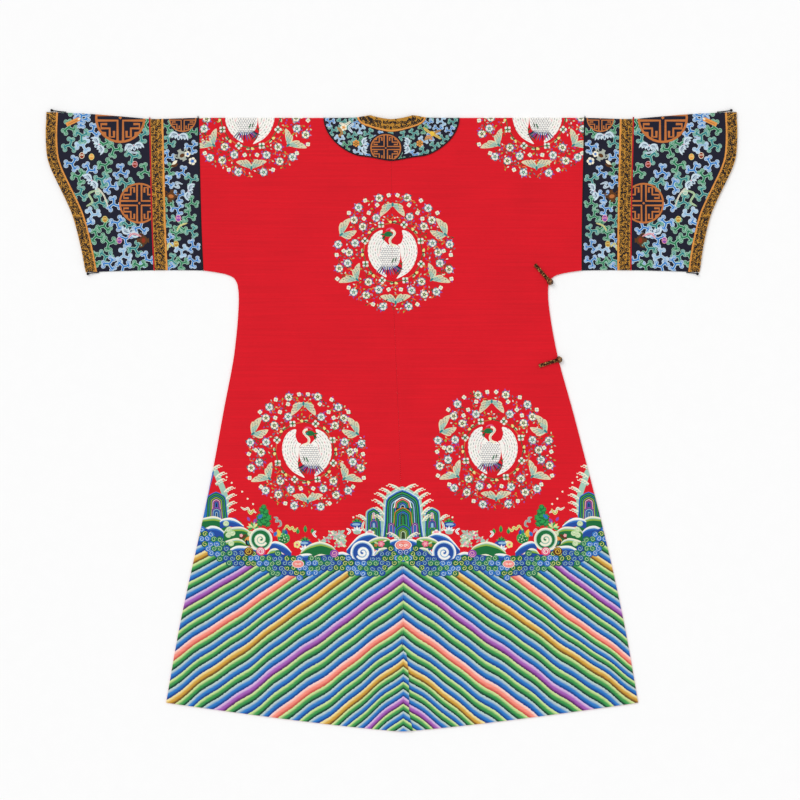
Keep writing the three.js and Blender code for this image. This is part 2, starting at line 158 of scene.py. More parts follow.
def smooth_curve(points):
    """A smooth curve through (at, value) points, level past its ends."""
    keys, values = np.array(sorted(points), float).T
    last = len(keys) - 1

    def curve(at):
        at = np.clip(np.asarray(at, float), keys[0], keys[-1])
        i = np.clip(np.searchsorted(keys, at, side="right") - 1, 0, last - 1)
        before, after = np.maximum(i - 1, 0), np.minimum(i + 2, last)
        span = keys[i + 1] - keys[i]
        start = (values[i + 1] - values[before]) / (keys[i + 1] - keys[before]) * span
        end = (values[after] - values[i]) / (keys[after] - keys[i]) * span
        t = (at - keys[i]) / span
        rise = (3 * t**2 - 2 * t**3) * (values[i + 1] - values[i])
        return values[i] + rise + (t**3 - 2 * t**2 + t) * start + (t**3 - t**2) * end

    return curve


def ease(start, end, at):
    t = np.clip((at - start) / (end - start), 0, 1)
    return t * t * (3 - 2 * t)


def mix(a, b, t):
    return a + (b - a) * t


SIDE_EDGE = [
    (385, 350.5), (405, 349.5), (450, 353), (500, 359.5), (552, 368.5), (660, 394), (780, 420.5),
    (900, 448), (1040, 480), (1165, 506), (HEM_CORNER, 533.5),
]
UNDERARM = [
    (345, BODY_END - JOINT_LEAN), (349.5, 396), (353.5, 377), (358.5, 364.5), (364.5, 357.5),
    (374, 352.5), (385, 350.5),
]
half_width = smooth_curve(SIDE_EDGE)
underarm = smooth_curve(UNDERARM)
shoulder_line = smooth_curve([
    (0, -3), (46, -6), (80, -1), (110, 0), (440, 0), (540, 2.5), (590, -1.5), (665, -7.8),
    (735, -11.5), (785, -13.5),
])
sleeve_line = smooth_curve([
    (350, 374), (364.5, 358.5), (396, 349.5), (430, 345), (543, 344.5), (610, 346), (700, 349),
])
cuff_edge = smooth_curve([
    (-14, 779), (23, 781.5), (60, 781), (90, 778), (115, 770), (147, 755), (182, 738), (216, 723),
    (254, 712), (305, 701), (350, 694),
])

# The largest soft folds: middle, half length, half width, direction in degrees, height
FOLDS = [
    (-270, 470, 130, 26, 8, 1.1),
    (275, 455, 120, 24, -12, 1.2),
    (300, 560, 100, 30, -58, 0.9),
    (-120, 640, 190, 34, 4, 0.7),
    (150, 780, 200, 38, -6, 0.8),
    (-330, 860, 150, 30, 72, 0.9),
    (-60, 1120, 150, 30, 80, 0.8),
    (190, 1190, 130, 26, 84, 1.2),
    (-230, 1250, 120, 24, 78, 1.3),
    (370, 1220, 130, 24, -76, 1.2),
    (-420, 1210, 110, 22, 66, 1.1),
    (-330, 250, 90, 26, 30, 0.8),
    (350, 230, 100, 28, -34, 0.9),
]
FOLD_FREE = (185, 150)


def shoulder(u):
    return shoulder_line(np.abs(u))


def sleeve_edge(u):
    return sleeve_line(np.abs(u))


def joint(across):
    return lambda drop: across - JOINT_LEAN * drop / SLEEVE_DEPTH


def room(u, drop):
    """How far a place on the back is from the nearest edge."""
    across = np.abs(u)
    skirt = np.minimum(HEM_CORNER + 20 - drop, half_width(drop) - across)
    chest = np.hypot(ARMPIT[0] - across, ARMPIT[1] - drop)
    arm = np.where(across > ARMPIT[0], sleeve_edge(u) - drop, chest)
    return np.where(drop > ARMPIT[1], skirt, arm)


def folds(u, drop):
    free = 1 - ease(FOLD_FREE[0], FOLD_FREE[0] + 60, np.abs(u))
    calm = free * (1 - ease(FOLD_FREE[1], FOLD_FREE[1] + 60, drop))
    total = 0
    for middle_u, middle_drop, long, wide, turn, height in FOLDS:
        du, dd = u - middle_u, drop - middle_drop
        c, s = math.cos(math.radians(turn)), math.sin(math.radians(turn))
        along, off = (du * c + dd * s) / long, (dd * c - du * s) / wide
        total = total + height * np.exp(-along * along - off * off)
    return (1 - calm) * total


def back_height(u, drop):
    airy = ease(0, PUFF_FADE, room(u, drop))
    return 2 * WALL + LAYER_GAP + airy * (REST_PUFF + folds(u, drop))


def left_height(u, drop):
    """The left edge of the vent climbs over the right one."""
    down = ease(VENT_TOP - VENT_EASE, VENT_TOP + 5, drop)
    return back_height(u, drop) + VENT_RISE * down * ease(-VENT_EASE, -2, u)


def raised(rise):
    return lambda u, drop: back_height(u, np.maximum(drop, 0)) + rise


def place(u, drop, z):
    sway = SWAY_BY * ease(SWAY_FROM, SWAY_TO, drop)
    return np.stack([u + sway, SHOULDER_Y - drop, z + 0 * u], axis=-1) / 1000


def front_v(u, drop, height):
    """The v of a place on the front, a given drop below the shoulder line."""
    apex = shoulder(u)
    radius = height(u, apex) / 2
    return 2 * (apex + radius) - math.pi * radius - drop


def cloth_points(u, v, depth, height, sleeve):
    """Points of a cloth at a depth below its outer face, on the back, over the fold or on the front.
    A sleeve also turns under at its lower edge."""
    apex = shoulder(u)
    radius = height(u, apex) / 2
    start = apex + radius
    turned = (start - v) / radius
    over = np.clip(turned, 0, math.pi)
    on_front = turned > math.pi
    drop = np.where(on_front, 2 * start - v - math.pi * radius, v)
    z = np.where(on_front, depth, height(u, drop) - depth)
    if sleeve:
        low = sleeve_edge(u)
        tight = height(u, low) / 2
        under = np.clip((drop - low + tight) / tight, 0, math.pi / 2)
        curl = tight - depth
        way = np.where(on_front, -1, 1)
        z = np.where(under > 0, tight + way * curl * np.cos(under), z)
        drop = np.where(under > 0, low - tight + curl * np.sin(under), drop)
    turning = (turned > 0) & (turned < math.pi)
    curl = radius - depth
    z = np.where(turning, radius + curl * np.cos(over), z)
    drop = np.where(turning, start - curl * np.sin(over), drop)
    return place(u, drop, z)


# Drawing of woven motifs. A motif is a list of (dye, outline), y downwards.


def spline(points, closed=False, steps=4):
    """A smooth line through points."""
    p = np.array(points, float)
    if closed:
        p = np.vstack([p[-1:], p, p[:2]])
    else:
        p = np.vstack([2 * p[0] - p[1], p, 2 * p[-1] - p[-2]])
    t = np.arange(steps)[:, None] / steps
    parts = []
    for a, b, c, d in zip(p, p[1:], p[2:], p[3:]):
        parts.append(0.5 * (2 * b + (c - a) * t + (2 * a - 5 * b + 4 * c - d) * t**2
                            + (3 * b - a - 3 * c + d) * t**3))
    if not closed:
        parts.append(p[-2:-1])
    return np.vstack(parts)


def oval(x, y, wide, high, turn=0, count=12):
    a = np.arange(count) / count * 2 * math.pi
    c, s = math.cos(math.radians(turn)), math.sin(math.radians(turn))
    px, py = wide * np.cos(a), high * np.sin(a)
    return np.stack([x + px * c - py * s, y + px * s + py * c], axis=-1)


def petals(x, y, radius, count=5, dip=0.22, turn=0):
    """A flower's outline with rounded petals."""
    steps = 4
    a = np.arange(count * steps) / (count * steps) * 2 * math.pi
    lobes = np.abs(np.sin(a * count / 2))
    r = radius * (1 - dip + dip * lobes**0.6)
    a = a + math.radians(turn)
    return np.stack([x + r * np.cos(a), y + r * np.sin(a)], axis=-1)


def star(x, y, radius, count=5, waist=0.4, turn=0):
    a = np.arange(count * 2) / (count * 2) * 2 * math.pi + math.radians(turn)
    r = np.where(np.arange(count * 2) % 2, radius * waist, radius)
    return np.stack([x + r * np.cos(a), y + r * np.sin(a)], axis=-1)


def stroke(line, width, tip=0.3):
    """A line with a width, thinner at its ends. tip is the ends' share, one or two of them."""
    line = np.array(line, float)
    heading = np.gradient(line, axis=0)
    heading /= np.linalg.norm(heading, axis=1)[:, None] + 1e-9
    aside = np.stack([-heading[:, 1], heading[:, 0]], axis=-1)
    t = np.linspace(0, 1, len(line))
    first, last = tip if isinstance(tip, tuple) else (tip, tip)
    swell = np.minimum(1, np.minimum(first + 4 * t, last + 4 * (1 - t)))
    half = (width / 2 * swell)[:, None]
    return np.vstack([line + aside * half, (line - aside * half)[::-1]])


def leaf(x, y, long, wide, turn=0):
    """A pointed leaf whose stalk is at the place."""
    c, s = math.cos(math.radians(turn)), math.sin(math.radians(turn))
    shape = [(0, 0), (0.3, 0.42), (0.65, 0.4), (1, 0), (0.65, -0.4), (0.3, -0.42)]
    return np.array([(x + long * a * c - wide * b * s, y + long * a * s + wide * b * c) for a, b in shape])


def spiral(x, y, outer, inner, turns, start=0, hand=1, steps=12):
    """A spiral line that winds in to its middle."""
    t = np.linspace(0, 1, int(turns * steps) + 1)
    a = math.radians(start) + hand * turns * 2 * math.pi * t
    r = mix(outer, inner, t)
    return np.stack([x + r * np.cos(a), y + r * np.sin(a)], axis=-1)


def moved(motif, x=0, y=0, turn=0, size=1, flip=1):
    """A motif mirrored if flip is -1, sized, turned and put in place."""
    c, s = math.cos(math.radians(turn)), math.sin(math.radians(turn))
    matrix = size * np.array([[c * flip, -s], [s * flip, c]])
    return [(dye, outline @ matrix.T + (x, y)) for dye, outline in motif]


# Roundels


def blossom(radius, ground, heart, turn):
    made = [("slate", petals(0, 0, 1.1 * radius, dip=0.3, turn=turn))]
    for k in range(5):
        a = math.radians(turn + 72 * k)
        x, y = 0.6 * radius * math.cos(a), 0.6 * radius * math.sin(a)
        made.append((ground, oval(x, y, 0.42 * radius, 0.3 * radius, turn + 72 * k + 90, count=8)))
    return made + [
        (heart, star(0, 0, 0.7 * radius, waist=0.34, turn=turn + 36)),
        ("lemon", oval(0, 0, radius * 0.15, radius * 0.15, count=5)),
    ]


def cross_blossom(radius, turn):
    made = []
    for k in range(4):
        a = math.radians(turn + 90 * k + 45)
        x, y = 0.52 * radius * math.cos(a), 0.52 * radius * math.sin(a)
        made.append(("pearl", oval(x, y, 0.5 * radius, 0.42 * radius, turn + 90 * k + 45, count=7)))
    return made + [
        ("pine", star(0, 0, radius * 1.05, count=4, waist=0.26, turn=turn)),
        ("orange", stroke([(0, 0), (0.8 * radius, 0.75 * radius)], 1.6, 0.5)),
    ]


def twig(x, y, turn, dyes):
    """A short stem with three small leaves."""
    made = [(dyes[0], stroke([(-5, 0), (0, 1), (5, 0)], 1.5, 0.5))]
    made += [(dyes[1], leaf(-2, -1.6, 6, 3.2, 215)), (dyes[2], leaf(2, -1.8, 6, 3.4, -60)),
             (dyes[3], leaf(1, 2.6, 5.4, 3.2, 40))]
    return moved(made, x, y, turn)


def butterfly(body, tips, width):
    """Two broad wings from a body to their tips."""
    body = np.array(body, float)
    made = []
    for tip, bend in zip(tips, (1, -1)):
        reach = np.array(tip, float) - body
        long = np.linalg.norm(reach)
        turn = math.degrees(math.atan2(reach[1], reach[0]))
        wing = [(0, -0.06), (0.3, -0.24), (0.64, -0.38), (1.08, -0.42), (1.0, -0.1), (0.84, 0.14),
                (0.72, 0.2), (0.66, 0.42), (0.38, 0.46), (0, 0.16)]
        outline = spline([(long * a, bend * width * b) for a, b in wing], closed=True, steps=3)
        marks = [("straw", outline), ("sea", outline * (0.5, 0.6) + (long * 0.04, 0))]
        for k in range(40):
            a, b = 0.12 + 0.82 * ((0.618 * k) % 1), -0.45 + 0.82 * ((0.414 * k + 0.2) % 1)
            dot = np.array([(long * a, bend * width * b)])
            if inside(dot, outline * 0.94)[0]:
                dye = ("slate", "moss", "grey")[k % 3]
                marks.append((dye, oval(*dot[0], 1.3, 0.75, turn=40 * k, count=5)))
        for k in range(3):
            vein = [(long * 0.1, 0), (long * 0.8, bend * width * (-0.34 + 0.28 * k))]
            marks.append(("grey", stroke(vein, 1.1, 0.5)))
        made += moved(marks, *body, turn=turn)
    middle = sum(np.array(tip, float) for tip in tips) / 2
    away = body - middle
    turn = math.degrees(math.atan2(away[1], away[0]))
    return made + [("teal", oval(*body, 5.4, 2.6, turn=turn, count=8))]


def crane():
    """A crane with its wings spread into a round, looking left."""
    left = spline([
        (-24.5, -50), (-37, -46), (-47.5, -37), (-56, -21), (-58.6, -4), (-56, 14), (-48, 31),
        (-35, 46), (-20, 56), (-18, 52), (-26, 40), (-31, 21), (-32.5, 4), (-27, -10), (-13, -17),
        (-21, -27), (-26, -38),
    ], closed=True)
    right = spline([
        (20, -49.5), (33, -46.5), (44, -36), (51.5, -18.5), (53.4, -1), (50, 16), (42, 33),
        (28, 48), (5, 59.5), (14, 46), (19, 30), (17, 13.5), (14, -10), (10, -17), (17, -21),
        (22, -35.5),
    ], closed=True)
    body = spline([
        (-14, -17), (2, -18), (13, -11), (15, 8.5), (9, 28), (-8, 38), (-24.5, 37), (-33, 20),
        (-31.5, 1), (-25, -12),
    ], closed=True)
    neck = spline([(4, -14), (-6, -19), (-8, -28), (-2, -36), (3, -43), (-1, -49), (-6, -50)])
    motif = [
        ("moss", stroke(spline([(12, 22), (19, 30), (16, 42), (6, 52)]), 3)),
        ("moss", stroke(spline([(6, 28), (10, 38), (2, 50)]), 3)),
        ("pine", leaf(19, 24, 17, 6, 75)), ("moss", leaf(14, 34, 14, 6, 120)),
        ("white", left), ("white", right), ("white", body),
    ]
    for k in range(11):
        dye = ("slate", "navy", "deep_blue")[k % 3]
        motif.append((dye, leaf(-25 + 2.6 * k, 29, 25, 3.4, 132 - 10.5 * k)))
    for way, middle in ((-1, (-2, -2)), (1, (-4, -2))):
        for row in range(6):
            reach = 29 + 5.4 * row
            for k in range(13):
                a = math.radians(-64 + 10.6 * k + 3 * row)
                x, y = middle[0] + way * reach * math.cos(a), middle[1] + 1.02 * reach * math.sin(a)
                wing = left if way < 0 else right
                if inside(np.array([(x, y)]), wing)[0] and not inside(np.array([(x, y)]), body)[0]:
                    dye = ("slate", "grey", "pine", "grey", "rose")[(k + 2 * row) % 5]
                    turn = math.degrees(math.atan2(math.cos(a), -way * math.sin(a)))
                    motif.append((dye, oval(x, y, 3.4, 0.62, turn=turn, count=6)))
    for row in range(11):
        for k in range(9):
            x, y = -31 + 5.6 * k + 2.8 * (row % 2), -14 + 4.7 * row
            if inside(np.array([(x, y)]), body * 0.93 + (-0.7, 0.6))[0]:
                scale = [(x - 2.9, y - 1.3), (x, y + 1.5), (x + 2.9, y - 1.3)]
                motif.append(("navy" if (k + row) % 3 else "slate", stroke(scale, 1.05, 0.8)))
                if row % 2:
                    motif.append(("white", oval(x, y - 1.2, 1.7, 1, count=6)))
    motif += [
        ("pine", leaf(1, 12, 16, 3, 115)), ("moss", leaf(6, 10, 14, 3, 105)),
        ("cream", stroke(neck, 5.6, tip=(1.3, 0.9))),
        ("grey", stroke(neck[3:-6] + (0.8, 0), 0.9)),
        ("rose", stroke(spline([(-17, -49), (-11, -53), (-4, -54), (2, -51)]), 3.4)),
        ("pine", spline([(-20, -43), (-14, -47), (-6, -46), (-1, -41), (-5, -36), (-14, -35), (-21, -38)],
                        closed=True, steps=2)),
        ("teal", oval(-4, -40, 3.4, 2.2, turn=20, count=8)),
        ("moss", leaf(-17, -38, 13, 5, 140)), ("pine", leaf(-19, -40, 11, 4.5, 185)),
        ("moss", leaf(-20, -36, 11, 4, 105)),
    ]
    return motif


def inside(points, outline):
    """Which points a closed outline winds round."""
    x, y = points[:, 0], points[:, 1]
    winding = np.zeros(len(points), int)
    for (x0, y0), (x1, y1) in zip(outline, np.roll(outline, -1, axis=0)):
        side = (x1 - x0) * (y - y0) - (x - x0) * (y1 - y0)
        winding += (y0 <= y) & (y1 > y) & (side > 0)
        winding -= (y1 <= y) & (y0 > y) & (side < 0)
    return winding != 0


OUTER_BLOSSOMS = [
    (32.6, -123.5), (79, -101), (88, -74), (126, -19), (124, 37.5), (93, 89), (66, 97), (29, 123.5),
]
MIDDLE_BLOSSOMS = [(37.5, -79), (69, -59), (88, -21), (101, 1), (105, 24), (60, 66), (37, 85)]
BUDS = [
    (10, -129), (63, -117), (100, -89), (55, -89), (66, -76), (36, -107), (129, 6), (129, 60),
    (104, 80), (50, 117.5), (113, -3), (88, 45), (14, 84),
]


def roundel(seed):
    rng = random.Random(seed)
    motif = []
    flowers = []
    for kind, spots in enumerate((OUTER_BLOSSOMS, MIDDLE_BLOSSOMS)):
        for k, (x, y) in enumerate(spots):
            for way in (-1, 1):
                flowers.append((way * x + rng.uniform(-1.5, 1.5), y + rng.uniform(-1.5, 1.5)))
                x0, y0 = flowers[-1]
                turn = rng.uniform(0, 360)
                motif += [("purple", leaf(x0, y0, 15, 5, turn)), ("lilac", leaf(x0, y0, 14, 5, turn + 50)),
                          ("moss", leaf(x0, y0, 13, 5, turn + 190))]
                ground, heart = (("cream", "moss"), ("pearl", "teal"))[(k + kind) % 2]
                motif += moved(blossom(9.4, ground, heart, turn), x0, y0)
    ring = 68
    for k in range(16):
        a = math.radians(k * 22.5)
        x, y = ring * math.cos(a) - 1.5, ring * math.sin(a) + 0.5
        arc = oval(-1.5, 0.5, ring - 2, ring - 2, count=96)
        dye = ("moss", "pine", "copper")[k % 3]
        motif.append((dye, stroke(arc[[(6 * k + j) % 96 for j in (1, 3, 5)]], 2.2, 0.6)))
        if k % 2:
            motif += moved(cross_blossom(8.4, math.degrees(a) + 20), x, y)
        else:
            turn = math.degrees(a)
            motif += [
                ("mint", leaf(x, y, 10, 7, turn + 75)), ("lemon", leaf(x, y, 10, 7, turn - 75)),
                ("moss", leaf(x, y, 9, 3, turn + 90)), ("brown", oval(x, y, 3.2, 2, turn=turn, count=6)),
            ]
    for x, y in BUDS:
        for way in (-1, 1):
            turn = rng.uniform(0, 360)
            motif += moved([
                ("purple", leaf(0, 0, 9, 3.6, turn)), ("moss", leaf(0, 0, 8.5, 4, turn + 120)),
                ("cream", petals(0, 0, 5.2, count=4, dip=0.25, turn=turn)),
                ("sea", star(0, 0, 3.2, count=4, turn=turn)),
            ], way * x, y)
            flowers.append((way * x, y))
    wings = [
        ((-1, -108), [(-31, -90), (27, -90)], 21),
        ((1, 114), [(-26, 95), (28, 94)], 21),
    ]
    for way in (-1, 1):
        wings.append(((way * 118, -40), [(way * 106, -76), (way * 86, -40)][:: way], 22))
        wings.append(((way * 84, 62), [(way * 86, 28), (way * 122, 60)][:: way], 21))
    for body, tips, width in wings:
        motif += butterfly(body, tips, width)
        for share in (0, 0.35, 0.7, 1):
            flowers += [tuple(np.array(body) + share * (np.array(tip) - body)) for tip in tips]
    stems = ["copper", "moss", "orange", "brown"]
    dyes = ["purple", "slate", "moss", "pearl", "leaf", "grey", "slate", "mint", "moss"]
    for ring, count in ((80, 34), (89, 38), (98, 42), (107, 46), (116, 50), (125, 56), (133, 72)):
        for k in range(count):
            a = (k + rng.random() * 0.6) / count * 2 * math.pi
            x, y = ring * math.cos(a), ring * 0.985 * math.sin(a)
            near = min(math.hypot(x - p, y - q) for p, q in flowers)
            if near > 10.6:
                motif += twig(x, y, rng.uniform(0, 360), [rng.choice(stems)] + rng.sample(dyes, 3))
                flowers.append((x, y))
    return motif


ROUNDEL_PLACES = [(3.6, 304, 1), (-212.4, 754, -1), (213.3, 748.7, 1), (-317.8, 0, 1), (326.9, 0, -1)]


def roundels():
    made = []
    for seed, (u, v, flip) in enumerate(ROUNDEL_PLACES):
        made += moved(roundel(seed), u, v)
        made += moved(crane(), u, v, flip=flip)
    return made


# Waves and rocks. Their places are given from the middle of the back out to one side.
CURL_TOP = [
    (-2, 978), (20, 970), (40, 975), (62, 988), (92, 1004), (122, 992), (150, 988), (185, 989),
    (215, 997), (250, 992), (285, 984), (321, 988), (350, 980), (385, 982), (405, 960), (425, 942),
    (445, 928), (500, 925),
]
CURL_FOOT = [
    (-2, 999), (5, 1000), (45, 1029), (71, 1040), (113, 1036), (147, 1018), (195, 1029), (233, 1042),
    (297, 1029), (331, 1011), (371, 1018), (409, 1006), (435, 988), (462, 961), (500, 940),
]
CURL_TONES = [("blue", "ice"), ("pine", "lemon"), ("deep_blue", "sea"), ("jade", "mint")]
GREEN_WAVE = ("cream", "sea", "leaf", "pine")
BLUE_WAVE = ("white", "ice", "blue", "deep_blue")


def curl(x, y, size, ground, line, turn, hand=1, turns=1.15):
    """A small round curl of a wave."""
    path = spiral(x, y, 0.78 * size, 0.2 * size, turns, turn, hand, steps=9)
    return [(ground, oval(x, y, size, size * 0.92, count=10)), (line, stroke(path, 0.15 * size, (0.5, 0.9)))]


def great_curl(x, y, size, dyes, hand):
    """A large rolling wave: a pale rope wound on a dark ground."""
    rim, band, dark = dyes
    made = []
    for dye, share in ((rim, 1), (band, 0.86), (dark, 0.78)):
        made.append((dye, oval(x, y, share * size, share * size, count=28)))
    for dye, wide in ((band, 0.26), (rim, 0.17)):
        path = spiral(x, y, 0.54 * size, 0.06 * size, 1.8, 90 - 60 * hand, hand, steps=14)
        made.append((dye, stroke(path, wide * size, (0.8, 0.5))))
    return made


def wave(points, dyes, depth=15, rim=3.8):
    """A wave's pale crest over bands that deepen downwards."""
    crest = spline(points, steps=6)
    share = np.linspace(0, 1, len(crest))
    swell = np.stack([0 * share, 0.35 + 0.65 * np.sin(math.pi * share)], axis=-1)
    made = []
    for dye, down in zip(dyes, (0, rim, rim + 2.2, rim + 6)):
        if down < depth - 1:
            made.append((dye, np.vstack([crest + down * swell, crest[::-1] + (0, depth)])))
    return made


def rock(x, top, foot, wide, dyes, pitch=4.1):
    """A mountain in nested contours with a dark line between them."""
    made = []
    for k, dye in enumerate(dyes):
        for name, inset in ((dye, pitch * k), ("night", pitch * (k + 0.6))):
            w, t = wide - inset, top + 1.08 * inset
            if w < 1.4 or t > foot - 4:
                return made
            half = [(0, t), (0.3 * w, t + 0.11 * w), (0.7 * w, t + 0.36 * w), (0.82 * w, t + 0.52 * w),
                    (0.87 * w, t + 0.85 * w), (0.91 * w, mix(t + 0.85 * w, foot, 0.5)), (w, foot)]
            half = [(a, min(b, foot)) for a, b in half]
            line = [(x + a, b) for a, b in half] + [(x - a, b) for a, b in reversed(half[1:])]
            made.append((name, np.array(line)))
    return made


def claw(root, tip, hooks=4):
    """Foam that rears up from a rock and breaks into curled fingers."""
    root, tip = np.array(root, float), np.array(tip, float)
    reach = tip - root
    along = reach / np.linalg.norm(reach)
    aside = np.array([-along[1], along[0]])
    if aside[1] < 0:
        aside = -aside
    horn = spline([root, root + 0.5 * reach - 1.6 * aside, tip + 0.8 * aside], steps=4)
    made = [("sea", stroke(horn[:7] + 2.4 * aside, 5.4, (1.4, 0.3))), ("cream", stroke(horn, 3, (1.6, 0.6)))]
    for k in range(hooks):
        start = horn[-1 - int(k * 2.2)]
        finger = [start + out * aside + on * along for out, on in ((0, 0), (3.6, 0), (6, 1.8), (5.2, 4))]
        made.append(("cream", stroke(spline(finger, steps=2), 1.8, (1, 0.7))))
    return made


def curl_field(seed):
    """Small curls in staggered rows between the waves and the stripes."""
    rng = random.Random(seed)
    field = np.array(CURL_TOP + CURL_FOOT[::-1], float)
    spots = []
    for row in range(11):
        for k in range(-1, 36):
            x, y = 13.8 * k + 6.9 * (row % 2), 930 + 11 * row
            if inside(np.array([(x, y)]), field)[0]:
                tone = (k // 2 + 2 * (row // 2) + row) % 4
                spots.append((x + rng.uniform(-1.2, 1.2), y + rng.uniform(-1.2, 1.2), tone))
    made = [("deep_blue", spline(CURL_TOP + [(x, y - 4) for x, y in CURL_FOOT[::-1]], closed=True, steps=2))]
    made += [("navy", oval(x, y, 8.3, 7.7, count=10)) for x, y, tone in spots]
    for x, y, tone in spots:
        ground, line = CURL_TONES[tone]
        made += curl(x, y, 7.6, ground, line, rng.choice((200, 260, 320)), rng.choice((-1, 1)))
    return made


def sprays(x, y, dyes, count=5, long=12, wide=5, spread=150):
    """Leaves that fan out from one place."""
    turns = [-90 + spread * (k / (count - 1) - 0.5) for k in range(count)]
    return [(dyes[k % len(dyes)], leaf(x, y, long, wide, turn)) for k, turn in enumerate(turns)]


def water_plants():
    """Flowers, fruit, a pine and ribbons that stand in the waves."""
    made = []
    for x, y in ((104, 920), (222, 962)):
        made += sprays(x, y - 4, ("pine", "green"), 7, 13, 5, 200)
        made += [("deep_blue", oval(x, y, 16, 6.5, count=12)), ("sky", oval(x + 2, y - 1, 10, 3, count=8))]
        made += [(("white", "ice")[k % 2], leaf(x, y + 17, 15, 6, -150 + 30 * k)) for k in range(5)]
        made += [("sea", oval(x, y + 17, 9, 4.6, count=8)), ("grey", oval(x, y + 18, 5, 2.4, count=6))]
    for x, y in ((75, 941), (143, 949)):
        made += [("white", petals(x, y, 10.5, 6)), ("pink", petals(x, y, 8.5, 6, turn=30)),
                 ("rose", star(x, y, 6.5, 6)), ("white", petals(x, y, 3, 5))]
        made += sprays(x, y + 8, ("green", "mint"), 4, 11, 5, 200)
    rng = random.Random(21)
    for k in range(20):
        x, y = rng.uniform(128, 186), rng.uniform(938, 966)
        made += sprays(x, y, (("grey", "mint", "cream")[k % 3], "sea"), 4, rng.uniform(7, 11), 4.6, 260)
        if k % 2:
            made.append((("lemon", "pink", "white", "rose")[k % 4], petals(x, y, 3.6, 5)))
    for x, y, long in ((221, 938, 17), (205, 941, 13), (238, 941, 13)):
        made += [("green", leaf(x, y, long, 9, -90)), ("pine", leaf(x, y, 0.6 * long, 3.4, -90))]
    made += [("green", oval(270, 950, 14, 13, count=14)), ("pine", oval(271, 954, 10, 8, count=10))]
    for k in range(11):
        a, reach = 2.4 * k, 3.3 * math.sqrt(k)
        spot = oval(270 + reach * math.cos(a), 950 + reach * math.sin(a), 1.6, 1.6, count=6)
        made.append(("mint", spot))
    made += [("yellow", leaf(280, 948, 19, 13, -80)), ("orange", leaf(284, 948, 13, 6, -70)),
             ("deep_blue", leaf(262, 942, 15, 9, -60)), ("teal", leaf(272, 940, 14, 9, -110)),
             ("blue", leaf(292, 946, 13, 9, -120)), ("cream", leaf(248, 964, 20, 10, -160)),
             ("lemon", petals(240, 965, 8, 5)), ("rose", star(240, 965, 4.5, 5))]
    made += [("pine", stroke([(314, 924), (315, 900), (314, 882)], 3.4))]
    for k, (dx, dy, wide) in enumerate(((-7, 0, 8), (8, -2, 9), (0, -6, 9), (9, -14, 8), (-8, -13, 9),
                                        (0, -20, 9), (-4, -27, 7), (4, -31, 7), (0, -37, 6))):
        made += [("pine", petals(314 + dx, 917 + dy, wide + 1, 7, 0.3, 20 * k)),
                 ("green", petals(314 + dx, 916 + dy, wide - 1.4, 7, 0.3, 20 * k))]
    ribbons = [
        ([(366, 880), (357, 885), (350, 882), (346, 890), (338, 889), (331, 893)], "cream"),
        ([(292, 903), (284, 905), (287, 913), (279, 911), (276, 920), (283, 925)], "grey"),
        ([(270, 932), (262, 922), (256, 930), (250, 925), (246, 934), (238, 926)], "lemon"),
        ([(350, 886), (344, 895), (336, 884)], "lemon"),
        ([(312, 932), (304, 936), (300, 930), (294, 938)], "pink"),
        ([(196, 948), (203, 940), (197, 934)], "white"),
        ([(128, 928), (120, 934), (126, 942)], "white"),
        ([(88, 912), (92, 926), (86, 934)], "cream"),
    ]
    for line, dye in ribbons:
        made.append((dye, stroke(spline(line, steps=4), 5, 0.4)))
        made.append(("moss" if dye == "lemon" else "slate", stroke(spline(line, steps=3), 0.9, 0.4)))
    made += [("purple", leaf(338, 918, 15, 9, -120)), ("deep_blue", leaf(374, 914, 16, 10, -40)),
             ("blue", leaf(328, 906, 15, 9, -140)), ("pine", leaf(364, 917, 14, 8, -20)),
             ("purple", leaf(346, 912, 12, 7, -60))]
    return made + sprays(339, 927, ("mint", "green", "lemon"), 8, 15, 6, 220)


